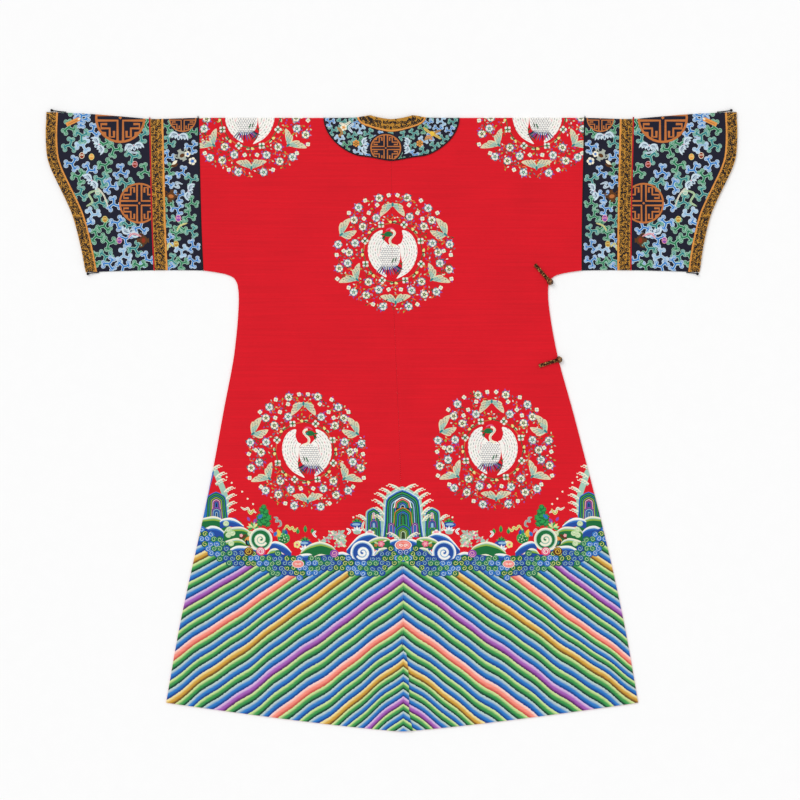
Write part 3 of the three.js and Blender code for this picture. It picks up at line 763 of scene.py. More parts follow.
def side_waves():
    """One side of the water, from the middle of the back out to the side edge."""
    hues = ("blue", "green", "teal", "leaf", "blue", "green")
    made = rock(66, 880, 950, 21, ("sea",))[:1] + rock(66, 883, 950, 17.5, hues, 3.8)
    made += rock(66, 892, 906, 3.6, ("white", "pink"), 2)
    made += rock(66, 909, 926, 9, ("purple", "blue", "sky"), 3)
    made += rock(66, 926, 950, 9, hues[1:], 3) + claw((83, 908), (99, 896))
    made += [("sea", stroke(spline([(402, 905), (399, 875), (402, 850), (412, 822), (422, 796)]), 13, 0.8)),
             ("blue", stroke(spline([(449, 905), (449, 870), (442, 835), (430, 796)]), 15, 0.8))]
    for x, y in ((384, 838), (381, 854), (381, 871), (384, 888), (403, 820), (402, 805), (412, 789)):
        made += claw((x + 19, y + 8), (x, y - 5))
    made += rock(421, 845, 908, 26, hues + hues, 3.8)
    made += rock(421, 862, 884, 10, ("pink", "purple", "blue"), 3.2)
    made += rock(421, 880, 908, 13, ("purple", "sky", "blue", "sky"), 3.2)
    for x, y in ((385, 825), (362, 845), (350, 861), (112, 903), (338, 873), (396, 812)):
        made.append(("cream", petals(x, y, 2.4, 3)))
    made += water_plants()
    waves = [
        ([(470, 912), (448, 904), (426, 900.6), (408, 908), (388, 927)], GREEN_WAVE, 26),
        ([(414, 912), (405.7, 906), (389.5, 904), (374, 910), (360, 922)], BLUE_WAVE, 20),
        ([(470, 936), (448, 928), (432, 922), (414, 927), (396, 945)], BLUE_WAVE, 34),
        ([(406, 938), (397.6, 928), (371, 924), (356, 928), (336, 944)], GREEN_WAVE, 34),
        ([(410, 964), (399.6, 956), (377, 950), (364, 954), (350, 966)], GREEN_WAVE, 24),
        ([(401, 984), (390, 974), (373, 967), (345, 970), (330, 976)], BLUE_WAVE, 22),
        ([(302, 962), (290, 957), (276, 960), (264, 968), (253, 981)], BLUE_WAVE, 22),
        ([(308, 986), (300, 976), (288, 973), (276, 981), (264, 992)], GREEN_WAVE, 16),
        ([(232, 982), (218, 969), (205.7, 962), (186, 958), (162, 967), (150, 980)], GREEN_WAVE, 32),
        ([(260, 1002), (252, 996), (232, 986.5), (212, 985), (204, 990)], BLUE_WAVE, 16),
        ([(222, 1003), (210, 997), (199.7, 990.5), (186, 986), (168, 990)], GREEN_WAVE, 14),
        ([(-2, 951), (20, 952), (40, 960), (60, 975), (70, 992)], BLUE_WAVE, 32),
        ([(56, 946), (75, 938), (97.5, 943), (114, 958), (128, 976)], BLUE_WAVE, 34),
        ([(30, 953), (40, 948), (55, 947), (72, 953), (88, 966)], GREEN_WAVE, 26),
        ([(112, 994), (120, 988), (137, 981), (153, 985), (166, 994)], BLUE_WAVE, 16),
        ([(30, 974), (44, 971), (56, 976), (66, 990)], GREEN_WAVE, 14),
    ]
    for each in waves:
        made += wave(*each)
    pale_curls = ((394, 931, 1), (386, 939, -1), (395, 943, 1), (400, 917, 1), (389, 962, 1), (345, 940, 1))
    for x, y, hand in pale_curls:
        made += curl(x, y, 7, "mint", "cream", 200, hand, 1)
    made += [("brown", oval(362, 947, 10, 4, 30, count=8)), ("orange", oval(352, 952, 8, 4, 40, count=8)),
             ("pink", petals(366, 944, 4, 5)), ("night", leaf(350, 968, 16, 10, -70)),
             ("teal", leaf(349, 965, 10, 5, -70))]
    made += [("rose", petals(50, 963, 8, 5)), ("pink", star(50, 963, 7, 6)),
             ("mint", leaf(56, 964, 12, 5, -30)), ("copper", petals(62, 966, 4, 5)),
             ("cream", leaf(46, 958, 10, 4, 200))]
    made += great_curl(92, 983, 27.5, ("white", "sky", "deep_blue"), 1)
    made += great_curl(322, 953, 26.5, ("cream", "sea", "pine"), -1)
    made += curl_field(3)
    made += curl(322, 980, 10.8, "rose", "white", 20, -1, 1.8)
    made += curl(349, 980, 11, "brown", "yellow", 200, 1, 1.6)
    made += curl(156, 985, 10, "purple", "pink", 20, 1, 1.5)
    return made + moved(double_curl(12.5, 8, "coral"), 238, 1008.5)


def double_curl(wide, high, dye):
    """Two curls that face each other inside one ring."""
    made = [("white", oval(0, 0, 1.1 * wide, 1.12 * high, count=18)),
            (dye, oval(0, 0, wide, high, count=18)),
            ("pink", oval(0, 0, 0.8 * wide, 0.72 * high, count=16)),
            (dye, oval(0, 0, 0.7 * wide, 0.6 * high))]
    for way in (-1, 1):
        path = spiral(0, 0, 0.33, 0.06, 1.2, 90, way, steps=9) * (wide, high) + (way * 0.36 * wide, 0)
        made.append(("white", stroke(path, 0.09 * wide, (0.6, 0.9))))
    return made


def middle_rock():
    """The mountain in the middle of the back, with foam round it. The red curl at its foot comes from
    middle_curls.
    """
    made = rock(0, 833, 945, 51, ("sea",))[:1] + rock(0, 838, 945, 47, ("ice",))[:1]
    for root, tip in (((4, 840), (30, 827)), ((25, 849), (46, 836)), ((34, 862), (57, 846)),
                      ((39, 879), (63, 861)), ((42, 897), (59, 879)), ((44, 912), (58, 896))):
        for way in (-1, 1):
            made += claw((way * root[0], root[1]), (way * tip[0], tip[1]))
    hues = ("blue", "green", "teal", "sky", "green", "blue")
    made += rock(0, 841, 948, 45, hues, 4.8)
    made += rock(0, 857, 882, 21.5, ("white", "coral", "green", "blue", "sky"), 3.8)
    made += rock(0, 880, 924, 23, ("gold", "green", "blue", "green", "sky"), 4.3)
    for way in (-1, 1):
        made += rock(way * 27, 915, 948, 8, ("purple", "lilac", "blue"), 3)
    made += rock(0, 893, 926, 8, ("teal", "pine", "green"), 3.2)
    made += rock(0, 918, 952, 21, ("green", "blue", "green", "leaf", "mint", "moss"), 3.6)
    for way in (-1, 1):
        made += claw((way * 9, 951), (way * 31, 936))
    return made


def middle_curls():
    made = moved(double_curl(17.6, 10.8, "coral"), 0, 966)
    for way in (-1, 1):
        made += curl(way * 7.3, 981.5, 8, "deep_blue", "ice", 90, way)
        made += curl(way * 7.3, 996, 8, "green", "lemon", 90, way)
    return made


def water():
    side = side_waves()
    made = []
    for way in (-1, 1):
        made += moved(side, APEX, 0, flip=way)
    return made + moved(middle_rock() + middle_curls(), APEX, 0)


def hem_cloth():
    """The striped part below the water, up to the middle of the small curls."""
    top, foot = smooth_curve(CURL_TOP), smooth_curve(CURL_FOOT)
    across = np.linspace(-497, 497, 72)
    edge = (top(abs(across)) + foot(abs(across))) / 2
    return np.vstack([np.stack([across + APEX, edge], axis=-1), [(560, 1420), (-560, 1420)]])


# Clouds and treasures on the dark pieces


def cloud(x, y, size, dyes, turn=0, flip=1):
    """Branching curls in one colour, outlined in a pale thread."""
    pale, deep = dyes
    stems, heads = [], []
    for angle, reach in ((200, 1.6), (325, 1.65), (85, 1.7)):
        a = math.radians(angle)
        tip = size * reach * np.array([math.cos(a), math.sin(a)])
        across = np.array([math.sin(a), -math.cos(a)])
        stems.append(spline([(0, 0), 0.5 * tip + 0.2 * size * across, tip], steps=2))
        heads += [(tip + 0.52 * size * hand * across, angle + 90 * hand, hand) for hand in (-1, 1)]
    made = [(pale, stroke(line, 0.72 * size, (1, 1))) for line in stems]
    made += [(pale, oval(*middle, 0.64 * size, 0.6 * size, count=10)) for middle, *_ in heads]
    made += [(deep, stroke(line, 0.42 * size, (1, 1))) for line in stems]
    for middle, start, hand in heads:
        made.append((deep, oval(*middle, 0.5 * size, 0.46 * size, count=9)))
        curled = spiral(*middle, 0.36 * size, 0.08 * size, 1.1, start, -hand, steps=8)
        made.append((pale, stroke(curled, 0.15 * size, (1, 0.7))))
    return moved(made, x, y, turn, 1, flip)


def bat(x, y, size, dyes, turn=0, flip=1):
    """A bat with two scalloped wings."""
    pale, deep = dyes
    wing = [(0, -0.2), (0.5, -0.7), (1.2, -0.8), (1.75, -0.2), (1.85, 0.55), (1.45, 0.15), (1.25, 0.55),
            (0.85, 0.2), (0.6, 0.6), (0.35, 0.25), (0, 0.4)]
    made = []
    for way in (-1, 1):
        edge = size * spline([(way * a, b) for a, b in wing], closed=True, steps=2)
        made.append((pale, edge))
        for k in range(3):
            bone = [(way * 0.3, -0.2), (way * (0.7 + 0.2 * k), -0.35), (way * (0.75 + 0.3 * k), 0.15)]
            made.append((deep, stroke(size * spline(bone), 0.12 * size, 0.5)))
    made += [(pale, oval(0, 0.1 * size, 0.32 * size, 0.62 * size, count=8)),
             (deep, oval(0, 0.2 * size, 0.17 * size, 0.3 * size, count=7)),
             ("rose", oval(0, -0.3 * size, 0.12 * size, 0.1 * size, count=6))]
    return moved(made, x, y, turn, 1, flip)


def head(x, y, size, dyes):
    """A single large cloud curl."""
    pale, deep = dyes
    made = [(pale, oval(x, y + 0.2 * size, 1.0 * size, 1.2 * size, count=12)),
            (deep, oval(x, y + 0.2 * size, 0.82 * size, 1.02 * size, count=12))]
    for hand in (-1, 1):
        middle = x + 0.36 * size * hand
        curled = spiral(middle, y, 0.34 * size, 0.1 * size, 1.1, 90 - 90 * hand, hand, steps=8)
        made.append((pale, stroke(curled, 0.16 * size)))
    return made


def ribbon(points, dye, width=4.5, turned=1):
    """A floating ribbon, mirrored in y where turned is -1."""
    line = spline([(x, turned * y) for x, y in points], steps=4)
    return [(dye, stroke(line, width, 0.4)), ("slate", stroke(line, 0.2 * width, 0.4))]


def vase(x, y, size, dyes, turn=0):
    """A small footed jar with two handles."""
    body = [(-0.3, -0.9), (0.3, -0.9), (0.25, -0.55), (0.7, -0.1), (0.55, 0.5), (0.25, 0.7), (0.4, 0.95),
            (-0.4, 0.95), (-0.25, 0.7), (-0.55, 0.5), (-0.7, -0.1), (-0.25, -0.55)]
    made = [(dyes[0], size * np.array(body)),
            (dyes[1], oval(0, 0.1 * size, 0.42 * size, 0.3 * size, count=8))]
    for way in (-1, 1):
        handle = size * spline([(way * 0.55, -0.3), (way * 1.0, -0.5), (way * 0.9, 0), (way * 0.6, 0.2)])
        made.append((dyes[0], stroke(handle, 0.2 * size)))
    return moved(made, x, y, turn)


def fret(x, y, wide, high, ground="night"):
    """A round medallion of plain key fret, the same in all four quarters."""
    made = [("copper", oval(0, 0, 1, 1, count=32)), (ground, oval(0, 0, 0.91, 0.91, count=32))]
    bars = [
        [(0.11, 0.94), (0.11, 0.11), (0.94, 0.11)],
        [(0.25, 0.52), (0.25, 0.76), (0.42, 0.76), (0.42, 0.42), (0.76, 0.42), (0.76, 0.25), (0.52, 0.25)],
        [(0.6, 0.72), (0.6, 0.6), (0.72, 0.6)],
    ]
    for across in (-1, 1):
        for down in (-1, 1):
            for bar in bars:
                line = np.array(bar) * (across, down)
                made.append(("copper", stroke(line, 0.095, 1)))
    made.append(("copper", oval(0, 0, 0.07, 0.07, count=4)))
    return [(dye, line * (wide, high) + (x, y)) for dye, line in made]


# Outline and middle of the clouds and bats
BLUE = ("ice", "azure")
SKY = ("ice", "sky")
GREEN = ("sea", "jade")
TEAL = ("sea", "teal")
PALE_BAT = ("ice", "slate")


def cuff_motif(side):
    """Clouds, bats and treasures on a cuff. It goes on over the fold onto the front."""
    clouds = [
        (557, 14, GREEN, 40), (585, 88, TEAL, 0), (676, 30, BLUE, 60), (729, 22, GREEN, 80),
        (700, 5, BLUE, 0), (627, 72, GREEN, 110), (727, 62, TEAL, 60), (612, 122, BLUE, 75),
        (647, 108, GREEN, 30), (557, 121, GREEN, 200), (684, 118, BLUE, 100), (722, 104, BLUE, 160),
        (707, 134, GREEN, 150), (636, 154, BLUE, 95), (628, 195, BLUE, 80), (676, 219, SKY, 110),
        (650, 245, GREEN, 60), (597, 244, TEAL, 0), (568, 248, BLUE, 180), (580, 296, TEAL, 40),
        (640, 284, GREEN, 120), (607, 312, SKY, 80), (648, 314, TEAL, 0), (556, 320, BLUE, 90),
        (660, 190, TEAL, 200), (620, 238, BLUE, 30), (668, 268, GREEN, 90), (697, 62, SKY, 40),
        (655, 140, TEAL, 30), (602, 274, BLUE, 20), (566, 40, TEAL, 20), (704, 172, TEAL, 60),
        (640, 330, BLUE, 40), (572, 336, GREEN, 10), (608, 336, BLUE, 0), (676, 320, GREEN, 50),
        (700, 40, TEAL, 10), (600, 150, TEAL, 10), (652, 60, GREEN, 10), (690, 240, BLUE, 10),
    ]
    heads = [
        (580, 104, ("pink", "rust")), (678, 87, ("lemon", "orange")), (648, 228, ("lemon", "gold")),
        (616, 276, ("pink", "purple")), (700, 84, ("cream", "rust")), (664, 166, ("cream", "sea")),
    ]
    made = []
    for turned in (1, -1):
        for x, y, dyes, turn in clouds:
            made += cloud(x, turned * y, 8.6, dyes, turned * turn, 1)
        for x, y, turn in ((582, 66, 10), (664, 62, -60), (680, 144, -50), (590, 258, 160)):
            made += bat(x, turned * y, 12, PALE_BAT, turned * turn)
        for x, y, dyes in heads:
            made += head(x, turned * y, 6.2, dyes)
        made += ribbon([(664, 158), (650, 176), (641, 200)], "cream", 3.4, turned)
        made += ribbon([(668, 164), (684, 172), (676, 190), (690, 200)], "mint", turned=turned)
        made += ribbon([(600, 60), (592, 76), (572, 80)], "ice", turned=turned)
        made += vase(563, turned * 277, 15, ("brown", "rust"), turned * 90)
        made += ribbon([(566, 268), (585, 262), (596, 272)], "pink", 4, turned)
    baton = stroke([(705, 2), (735, 16)], 13, (0.7, 0.7))
    made += [("orange", baton), ("copper", stroke([(708, 4), (731, 15)], 6)),
             ("cream", stroke([(703, 1), (709, 4)], 12))]
    made += fret(613, 0, 57, 57)
    for turned in (1, -1):
        made += fret(570, turned * 193, 46, 46)
    return moved(made, flip=side)


def band_motif(side):
    """The same kind of clouds on the narrow band above the cuff."""
    clouds = [
        (452, 30, GREEN, 90), (452, 66, BLUE, 30), (504, 56, TEAL, 200), (472, 124, BLUE, 60),
        (504, 118, GREEN, 160), (452, 140, TEAL, 0), (452, 192, GREEN, 80), (484, 206, BLUE, 30),
        (504, 232, TEAL, 120), (458, 222, GREEN, 200), (452, 256, TEAL, 40), (488, 262, GREEN, 20),
        (450, 290, BLUE, 90), (476, 300, SKY, 20), (450, 324, BLUE, 0), (498, 322, TEAL, 60),
        (506, 88, BLUE, 90), (476, 328, GREEN, 0), (508, 196, GREEN, 100), (476, 16, TEAL, 60),
        (506, 20, GREEN, 30), (480, 176, BLUE, 10), (506, 146, BLUE, 60), (506, 276, BLUE, 30),
        (478, 246, GREEN, 60), (506, 340, BLUE, 20),
    ]
    made = []
    for turned in (1, -1):
        for x, y, dyes, turn in clouds:
            made += cloud(x, turned * y, 7.4, dyes, turned * turn)
        made += bat(481, turned * 42, 12, PALE_BAT, turned * -8)
        made += bat(456, turned * 167, 11, PALE_BAT, turned * 70)
        made += vase(474, turned * 84, 15, ("grey", "brown"), turned * 30)
        made += vase(498, turned * 176, 15, ("brown", "copper"), turned * -10)
        made += [("cream", petals(450, turned * 98, 9)), ("blue", star(450, turned * 98, 7)),
                 ("cream", petals(461, turned * 82, 7)), ("blue", star(461, turned * 82, 5))]
        made += head(482, turned * 226, 6.5, ("pink", "purple"))
        made += head(488, turned * 284, 6, ("lemon", "gold"))
        made += ribbon([(472, 150), (487, 146), (480, 158), (494, 154)], "ice", turned=turned)
        made += ribbon([(462, 238), (478, 244), (486, 256)], "lemon", 3.4, turned)
        made += ribbon([(494, 292), (504, 284), (508, 300)], "lemon", 4, turned)
        made += [("brown", leaf(482, turned * 104, 20, 10, 20)), ("cream", leaf(484, turned * 96, 16, 8, 40))]
    made += fret(472, 2, 31, 30)
    return moved(made, flip=side)


def collar_motif():
    """Clouds and treasures round the neck, with one medallion at the nape."""
    rng = random.Random(8)
    made = []
    for ring, count in ((0.12, 20), (0.5, 24), (0.86, 28)):
        for k in range(count):
            a = 2 * math.pi * (k + 0.5 * (ring > 0.3) + rng.uniform(-0.15, 0.15)) / count
            across = mix(NECK_RIBBON[0], FACING[0], ring)
            layer = 1 if math.sin(a) > 0 else 2  # back or front
            down = mix(NECK_RIBBON[layer], FACING[layer], ring)
            dyes = (BLUE, GREEN, SKY, TEAL)[rng.randrange(4)]
            x, y = across * math.cos(a), down * math.sin(a)
            made += cloud(x, y, 5.6, dyes, math.degrees(a) + 90, rng.choice((-1, 1)))
    for way in (-1, 1):
        made += bat(way * 47 - 13, 63, 10, PALE_BAT, 90 * way)
        made += [("orange", petals(way * 72 - 8, 58, 8, 6)), ("brown", star(way * 72 - 8, 58, 7, 6)),
                 ("gold", petals(way * 72 - 8, 58, 3, 5))]
    ribbons = [
        ([(72, 22), (84, 32), (96, 38), (112, 48)], "yellow"),
        ([(112, 28), (98, 34), (88, 44), (74, 50)], "gold"),
        ([(76, 48), (84, 42), (92, 50)], "orange"),
        ([(-118, 12), (-104, 16), (-92, 8)], "cream"),
        ([(-122, 22), (-112, 34), (-120, 42)], "gold"),
        ([(-84, 12), (-96, 22), (-88, 34)], "ice"),
    ]
    for points, dye in ribbons:
        made += ribbon(points, dye, 5.5)
    made += [("cream", petals(-108, 22, 8, 5)), ("orange", star(-108, 22, 6)),
             ("yellow", petals(92, 36, 6, 5))]
    made += [("night", oval(-13, 68.5, 39, 35, count=24))]
    return made + fret(-13, 68.5, 35, 31.5)


def scroll(at, start, end, wide, seed, line):
    """Fine dark scrolls along a gold ribbon with a light line on one edge.
    at(v) gives a place and direction."""
    rng = random.Random(seed)
    made = []
    for k in range(int((end - start) / 7.6)):
        x, y, turn = at(start + (k + 0.5) * 7.6)
        piece = []
        for row in (-1, 0, 1):
            a, b = (row + rng.uniform(-0.12, 0.12)) * 0.31 * wide, rng.uniform(-1.4, 1.4) + 3.2 * (row == 0)
            curled = spiral(a, b, 3.7, 0.8, 1.15, rng.uniform(0, 360), rng.choice((-1, 1)), steps=8)
            piece.append(("black", stroke(curled, 1.8, (0.7, 1))))
            a, b = a + rng.uniform(-3, 3), b + rng.uniform(-4, 4)
            piece.append(("black", leaf(a, b, 8, 3.2, rng.uniform(0, 360))))
        made += moved(piece, x, y, turn)
    return made + [("orange", stroke(dense(line, 24), 3.6, 1))]


def neck_scroll(edge):
    def at(v):
        a = v / 62
        across, down = mix(NECK[0], NECK_RIBBON[0], 0.5), mix(NECK[1], NECK_RIBBON[1], 0.47)
        if math.sin(a) < 0:
            down = mix(NECK[2], NECK_RIBBON[2], 0.48)
        return across * math.cos(a), down * math.sin(a), math.degrees(a)

    return scroll(at, 0, 2 * math.pi * 62, 33, 4, np.vstack([edge, edge[:1]]))


def sleeve_scroll(side, inner, wide, seed):
    """Scrolls down a sleeve ribbon with a light line along its inner edge."""
    downs = np.linspace(-352, 352, 60)
    inner_at = np.array([inner(abs(v)) for v in downs])

    def at(v):
        x = float(np.interp(v, downs, inner_at))
        lean = float(np.interp(v + 4, downs, inner_at)) - float(np.interp(v - 4, downs, inner_at))
        return x + 0.56 * wide, v, -math.degrees(math.atan2(lean, 8))

    line = np.stack([inner_at + 1.9, downs], axis=-1)
    return moved(scroll(at, -352, 352, wide * 0.86, seed, line), flip=side)


# Hem stripes: bands of five, an accent and then green, blue, green, blue. They are numbered from the top.
APEX = 2.7
STRIPE_BASES = [749, 803, 866, 940, 1040.5, 1141, 1230.5, 1314, 1398]
STRIPE_SLOPES = [0.53, 0.605, 0.674, 0.721, 0.719, 0.731, 0.783, 0.828, 0.87]
RIGHT_BASES = [699, 752, 854, 948, 1040.5, 1141, 1231, 1316, 1400]
RIGHT_SLOPES = [0.68, 0.75, 0.726, 0.693, 0.715, 0.726, 0.79, 0.8, 0.83]
VENT_SLIP = 7.5
BAND = 5  # stripes in a band


def stripe_number(u, v, right):
    away = np.abs(u - APEX)
    bases, slopes = (RIGHT_BASES, RIGHT_SLOPES) if right else (STRIPE_BASES, STRIPE_SLOPES)
    ripple = 1.6 * np.sin(away / 31 + v / 210) + 1.1 * np.sin(away / 13 + 2.2 + v / 90)
    deep = ease(1000, 1350, v)
    v = v + ripple * mix(0.5, 1.6, deep)
    if right:
        v = v - VENT_SLIP * ease(VENT_TOP - 60, VENT_TOP + 40, v) * (1 - ease(0, 120, u))
    levels = np.array(bases)[:, None] + np.array(slopes)[:, None] * away[None, :]
    for n in range(len(bases) - 1):
        share = (v - levels[n]) / (levels[n + 1] - levels[n])
        number = BAND * share if n == 0 else np.where(share > 0, BAND * (n + share), number)
    return number


# Cloth


def dense(points, step):
    """A line with points added so that none are further apart than a step."""
    points = np.array(points, float)
    parts = []
    for a, b in zip(points, points[1:]):
        count = max(1, math.ceil(np.linalg.norm(b - a) / step))
        parts.append(a + (b - a) * (np.arange(count) / count)[:, None])
    return np.vstack(parts + [points[-1:]])


def triangulated(outline, holes, motif, guides, points):
    """Triangles of a cut piece, with an edge along every woven shape, and each triangle's dye."""
    low, high = outline.min(0), outline.max(0)
    shapes = [s for s in motif if (s[1].max(0) > low).all() and (s[1].min(0) < high).all()]
    spots, edges = [], []
    lines = [(outline, True)] + [(hole, True) for hole in holes] + [(guide, False) for guide in guides]
    lines += [(shape, True) for _, shape in shapes]
    for line, closed in lines:
        start, count = len(spots), len(line)
        spots += [Vector(p) for p in line]
        edges += [(start + i, start + (i + 1) % count) for i in range(count if closed else count - 1)]
    spots += [Vector(p) for p in points]
    found, _, triangles, *_ = delaunay_2d_cdt(spots, edges, [], 0, 1e-3)
    found, triangles = np.array(found), np.array(triangles)
    a, b, c = (found[triangles[:, k]] for k in range(3))
    twice = (b[:, 0] - a[:, 0]) * (c[:, 1] - a[:, 1]) - (b[:, 1] - a[:, 1]) * (c[:, 0] - a[:, 0])
    middles = (a + b + c) / 3
    kept = inside(middles, outline) & (np.abs(twice) > 1e-6)
    for hole in holes:
        kept &= ~inside(middles, hole)
    triangles, twice, middles = triangles[kept], twice[kept], middles[kept]
    triangles[twice > 0] = triangles[twice > 0][:, ::-1]
    paint = np.full(len(triangles), -1)
    order = np.argsort(middles[:, 1])
    downs = middles[order, 1]
    for k, (_, shape) in enumerate(shapes):
        low, high = shape.min(0), shape.max(0)
        first, last = np.searchsorted(downs, (low[1], high[1]))
        near = order[first:last]
        near = near[(middles[near, 0] > low[0]) & (middles[near, 0] < high[0])]
        paint[near[inside(middles[near], shape)]] = k
    used, triangles = np.unique(triangles, return_inverse=True)
    return found[used], triangles.reshape(-1, 3), paint, [dye for dye, _ in shapes]


def rim_loops(triangles):
    """The rims of a triangulated sheet as loops of corner numbers, the longest first."""
    edges = {(a, b) for t in triangles.tolist() for a, b in zip(t, t[1:] + t[:1])}
    following = {a: b for a, b in edges if (b, a) not in edges}
    loops = []
    while following:
        start, after = following.popitem()
        loop = [start]
        while after != start:
            loop.append(after)
            after = following.pop(after)
        loops.append(loop)
    return sorted(loops, key=len, reverse=True)


def woven_cloth(name, outline, motif, ground, wall, height, *, holes=(), guides=(), sleeve=False,
                spacing=(14, 26), stripes=None, materials=()):
    """One cut piece of cloth as a closed shell, with its woven shapes as faces of their own colour."""
    outline = np.array(outline, float)
    (left, top), (right, bottom) = outline.min(0), outline.max(0)
    back_step, front_step = spacing
    turn = fold_guides(left, right, height) if top < 0 < bottom else []
    grid = []
    for step, start, end in ((back_step, 6, bottom), (front_step, top, -8)):
        if end > start:
            us = np.arange(left + step / 2, right, step)
            vs = np.arange(start + step / 2, end, step)
            grid.append(np.stack(np.meshgrid(us, vs), axis=-1).reshape(-1, 2))
    grid = np.vstack(grid)
    grid = grid[inside(grid, outline)]
    rim = np.vstack([outline, *holes])
    clear = [np.min(np.abs(rim - p).sum(axis=1)) > 4 for p in grid]
    grid = grid[np.array(clear)]
    spots, triangles, paint, dyes = triangulated(outline, holes, motif, [*turn, *guides], grid)
    around, *openings = rim_loops(triangles)
    lining, lining_triangles, *_ = triangulated(
        spots[around], [spots[loop] for loop in openings], [], (), np.vstack([grid, *turn, *guides]))
    outer = cloth_points(*spots.T, 0, height, sleeve)
    inner = cloth_points(*lining.T, wall, height, sleeve)
    count = len(spots)
    at = {tuple(point): count + k for k, point in enumerate(lining)}
    rims = []
    for loop in (around, *openings):
        for a, b in zip(loop, loop[1:] + loop[:1]):
            rims.append((b, a, at[tuple(spots[a])], at[tuple(spots[b])]))
    owner = {}
    for k, (a, b, c) in enumerate(triangles.tolist()):
        owner.update({(a, b): k, (b, c): k, (c, a): k})
    reverse = lining_triangles[:, ::-1] + count
    faces = triangles.tolist() + reverse.tolist() + rims
    mesh = bpy.data.meshes.new(name)
    mesh.from_pydata(np.vstack([outer, inner]).tolist(), [], faces)
    table = np.array([linear(DYES[ground if dye == "stripes" else dye]) for dye in [*dyes, ground]])
    rim_paint = np.array([paint[owner[a, b]] for b, a, *_ in rims], int)
    face_paint = np.concatenate([paint, np.full(len(reverse), -1), rim_paint])
    sizes = np.array([len(face) for face in faces])
    colour = mesh.color_attributes.new("dye", "FLOAT_COLOR", "CORNER")
    colour.data.foreach_set("color", np.repeat(table[face_paint], sizes, axis=0).ravel())
    places = np.vstack([spots, lining])
    corners = np.concatenate([np.ravel(triangles), np.ravel(reverse), np.ravel(rims)])
    flat = mesh.uv_layers.new(name="cloth")
    flat.data.foreach_set("uv", (places[corners] / 1000).ravel())
    if stripes is not None:
        attribute = mesh.attributes.new("stripe", "FLOAT", "POINT")
        attribute.data.foreach_set("value", stripe_number(*places.T, stripes == "right"))
        striped = np.array([dye == "stripes" for dye in dyes] + [False])
        mesh.polygons.foreach_set("material_index", striped[face_paint].astype(int))
    for material in materials:
        mesh.materials.append(material)
    mesh.polygons.foreach_set("use_smooth", [True] * len(faces))
    mesh.set_sharp_from_angle(angle=math.radians(50))
    mesh.update()
    piece = bpy.data.objects.new(name, mesh)
    bpy.context.scene.collection.objects.link(piece)
    return piece


def fold_guides(left, right, height):
    """Lines of points along the shoulder fold, round its turn."""
    us = np.arange(left - 10, right + 10, 15.0)
    apex = shoulder(us)
    radius = height(us, apex) / 2
    rows = []
    for k in range(9):
        rows.append(np.stack([us, apex + radius - radius * math.pi * k / 8], axis=-1))
    return rows


# Outlines


def front_line(us, drops, height):
    us, drops = np.array(us, float), np.array(drops, float)
    return np.stack([us, front_v(us, drops, height)], axis=-1)


def over_fold(u, height):
    """Points round the shoulder turn at one distance across, from the back to the front."""
    apex = float(shoulder(u))
    radius = float(height(u, apex)) / 2
    return [(u, apex + radius - radius * math.pi * k / 8) for k in range(9)]


def hem_drop(u):
    return mix(BODY_LENGTH, HEM_CORNER, (np.abs(u) / half_width(HEM_CORNER)) ** HEM_POWER)


def side_line(side, start, end, step=12.0):
    """The side edge and underarm between two drops, either way."""
    count = max(2, int(abs(end - start) / step))
    drops = np.linspace(start, end, count)
    across = np.where(drops > SIDE_START, half_width(drops), underarm(drops))
    return np.stack([side * across, drops], axis=-1)


def body_outline(side, height):
    seam = side * SEAM_GAP / 2
    beside = FACING[0] + EDGING_WIDTH + 2 * SEAM_GAP
    below = FACING[2] + EDGING_WIDTH + 2 * SEAM_GAP
    vent = VENT_EDGE if side < 0 else []
    start = vent[-1][0] if vent else abs(seam)
    hem_us = np.linspace(start if vent else seam, side * half_width(HEM_CORNER), 60)
    hem = np.stack([hem_us, hem_drop(hem_us)], axis=-1)
    joint_drops = np.linspace(JOINT_FOOT, 4, 24)
    joint_us = side * joint(BODY_END)(joint_drops)
    back = [
        dense([(seam, BACK_NECK), (seam, VENT_TOP), *vent[:-1]], 12),
        hem,
        side_line(side, HEM_CORNER, SIDE_START)[1:],
        side_line(side, SIDE_START, JOINT_FOOT, 3.0)[1:],
        np.stack([joint_us, joint_drops], axis=-1)[1:],
        over_fold(side * BODY_END, height),
    ]
    front_joint = front_line(joint_us[::-1], joint_drops[::-1], height)
    arm = side_line(side, JOINT_FOOT, SIDE_START, 3.0)
    turn = np.radians(np.linspace(90, 3, 24))
    neck_us, neck_drops = side * beside * np.cos(turn), below * np.sin(turn)
    neck_us = np.where(np.abs(neck_us) < abs(seam), seam, neck_us)
    front = [front_joint[1:], front_line(*arm.T, height)[1:]]
    if side < 0:
        skirt = side_line(side, SIDE_START, HEM_CORNER)
        front_hem = np.linspace(side * half_width(HEM_CORNER), seam, 60)
        front += [
            front_line(*skirt.T, height)[1:],
            front_line(front_hem, hem_drop(front_hem), height)[1:],
            front_line(*dense([(seam, BODY_LENGTH), (seam, below)], 24).T, height)[1:-1],
        ]
    else:
        front.append(front_line(*dense([tuple(arm[-1]), (seam, below)], 12).T, height)[1:-1])
    front += [front_line(neck_us, neck_drops, height), over_fold(side * beside, height)[::-1]]
    back_neck = dense([over_fold(side * beside, height)[0], (seam, BACK_NECK)], 12)[1:-1]
    return np.vstack([*back, *front, back_neck])


def sleeve_end(us, height):
    """The v of a sleeve's cut edge at the underarm seam."""
    low = sleeve_edge(us)
    tight = height(us, low) / 2
    return low - tight + tight * math.pi / 2 * 0.98


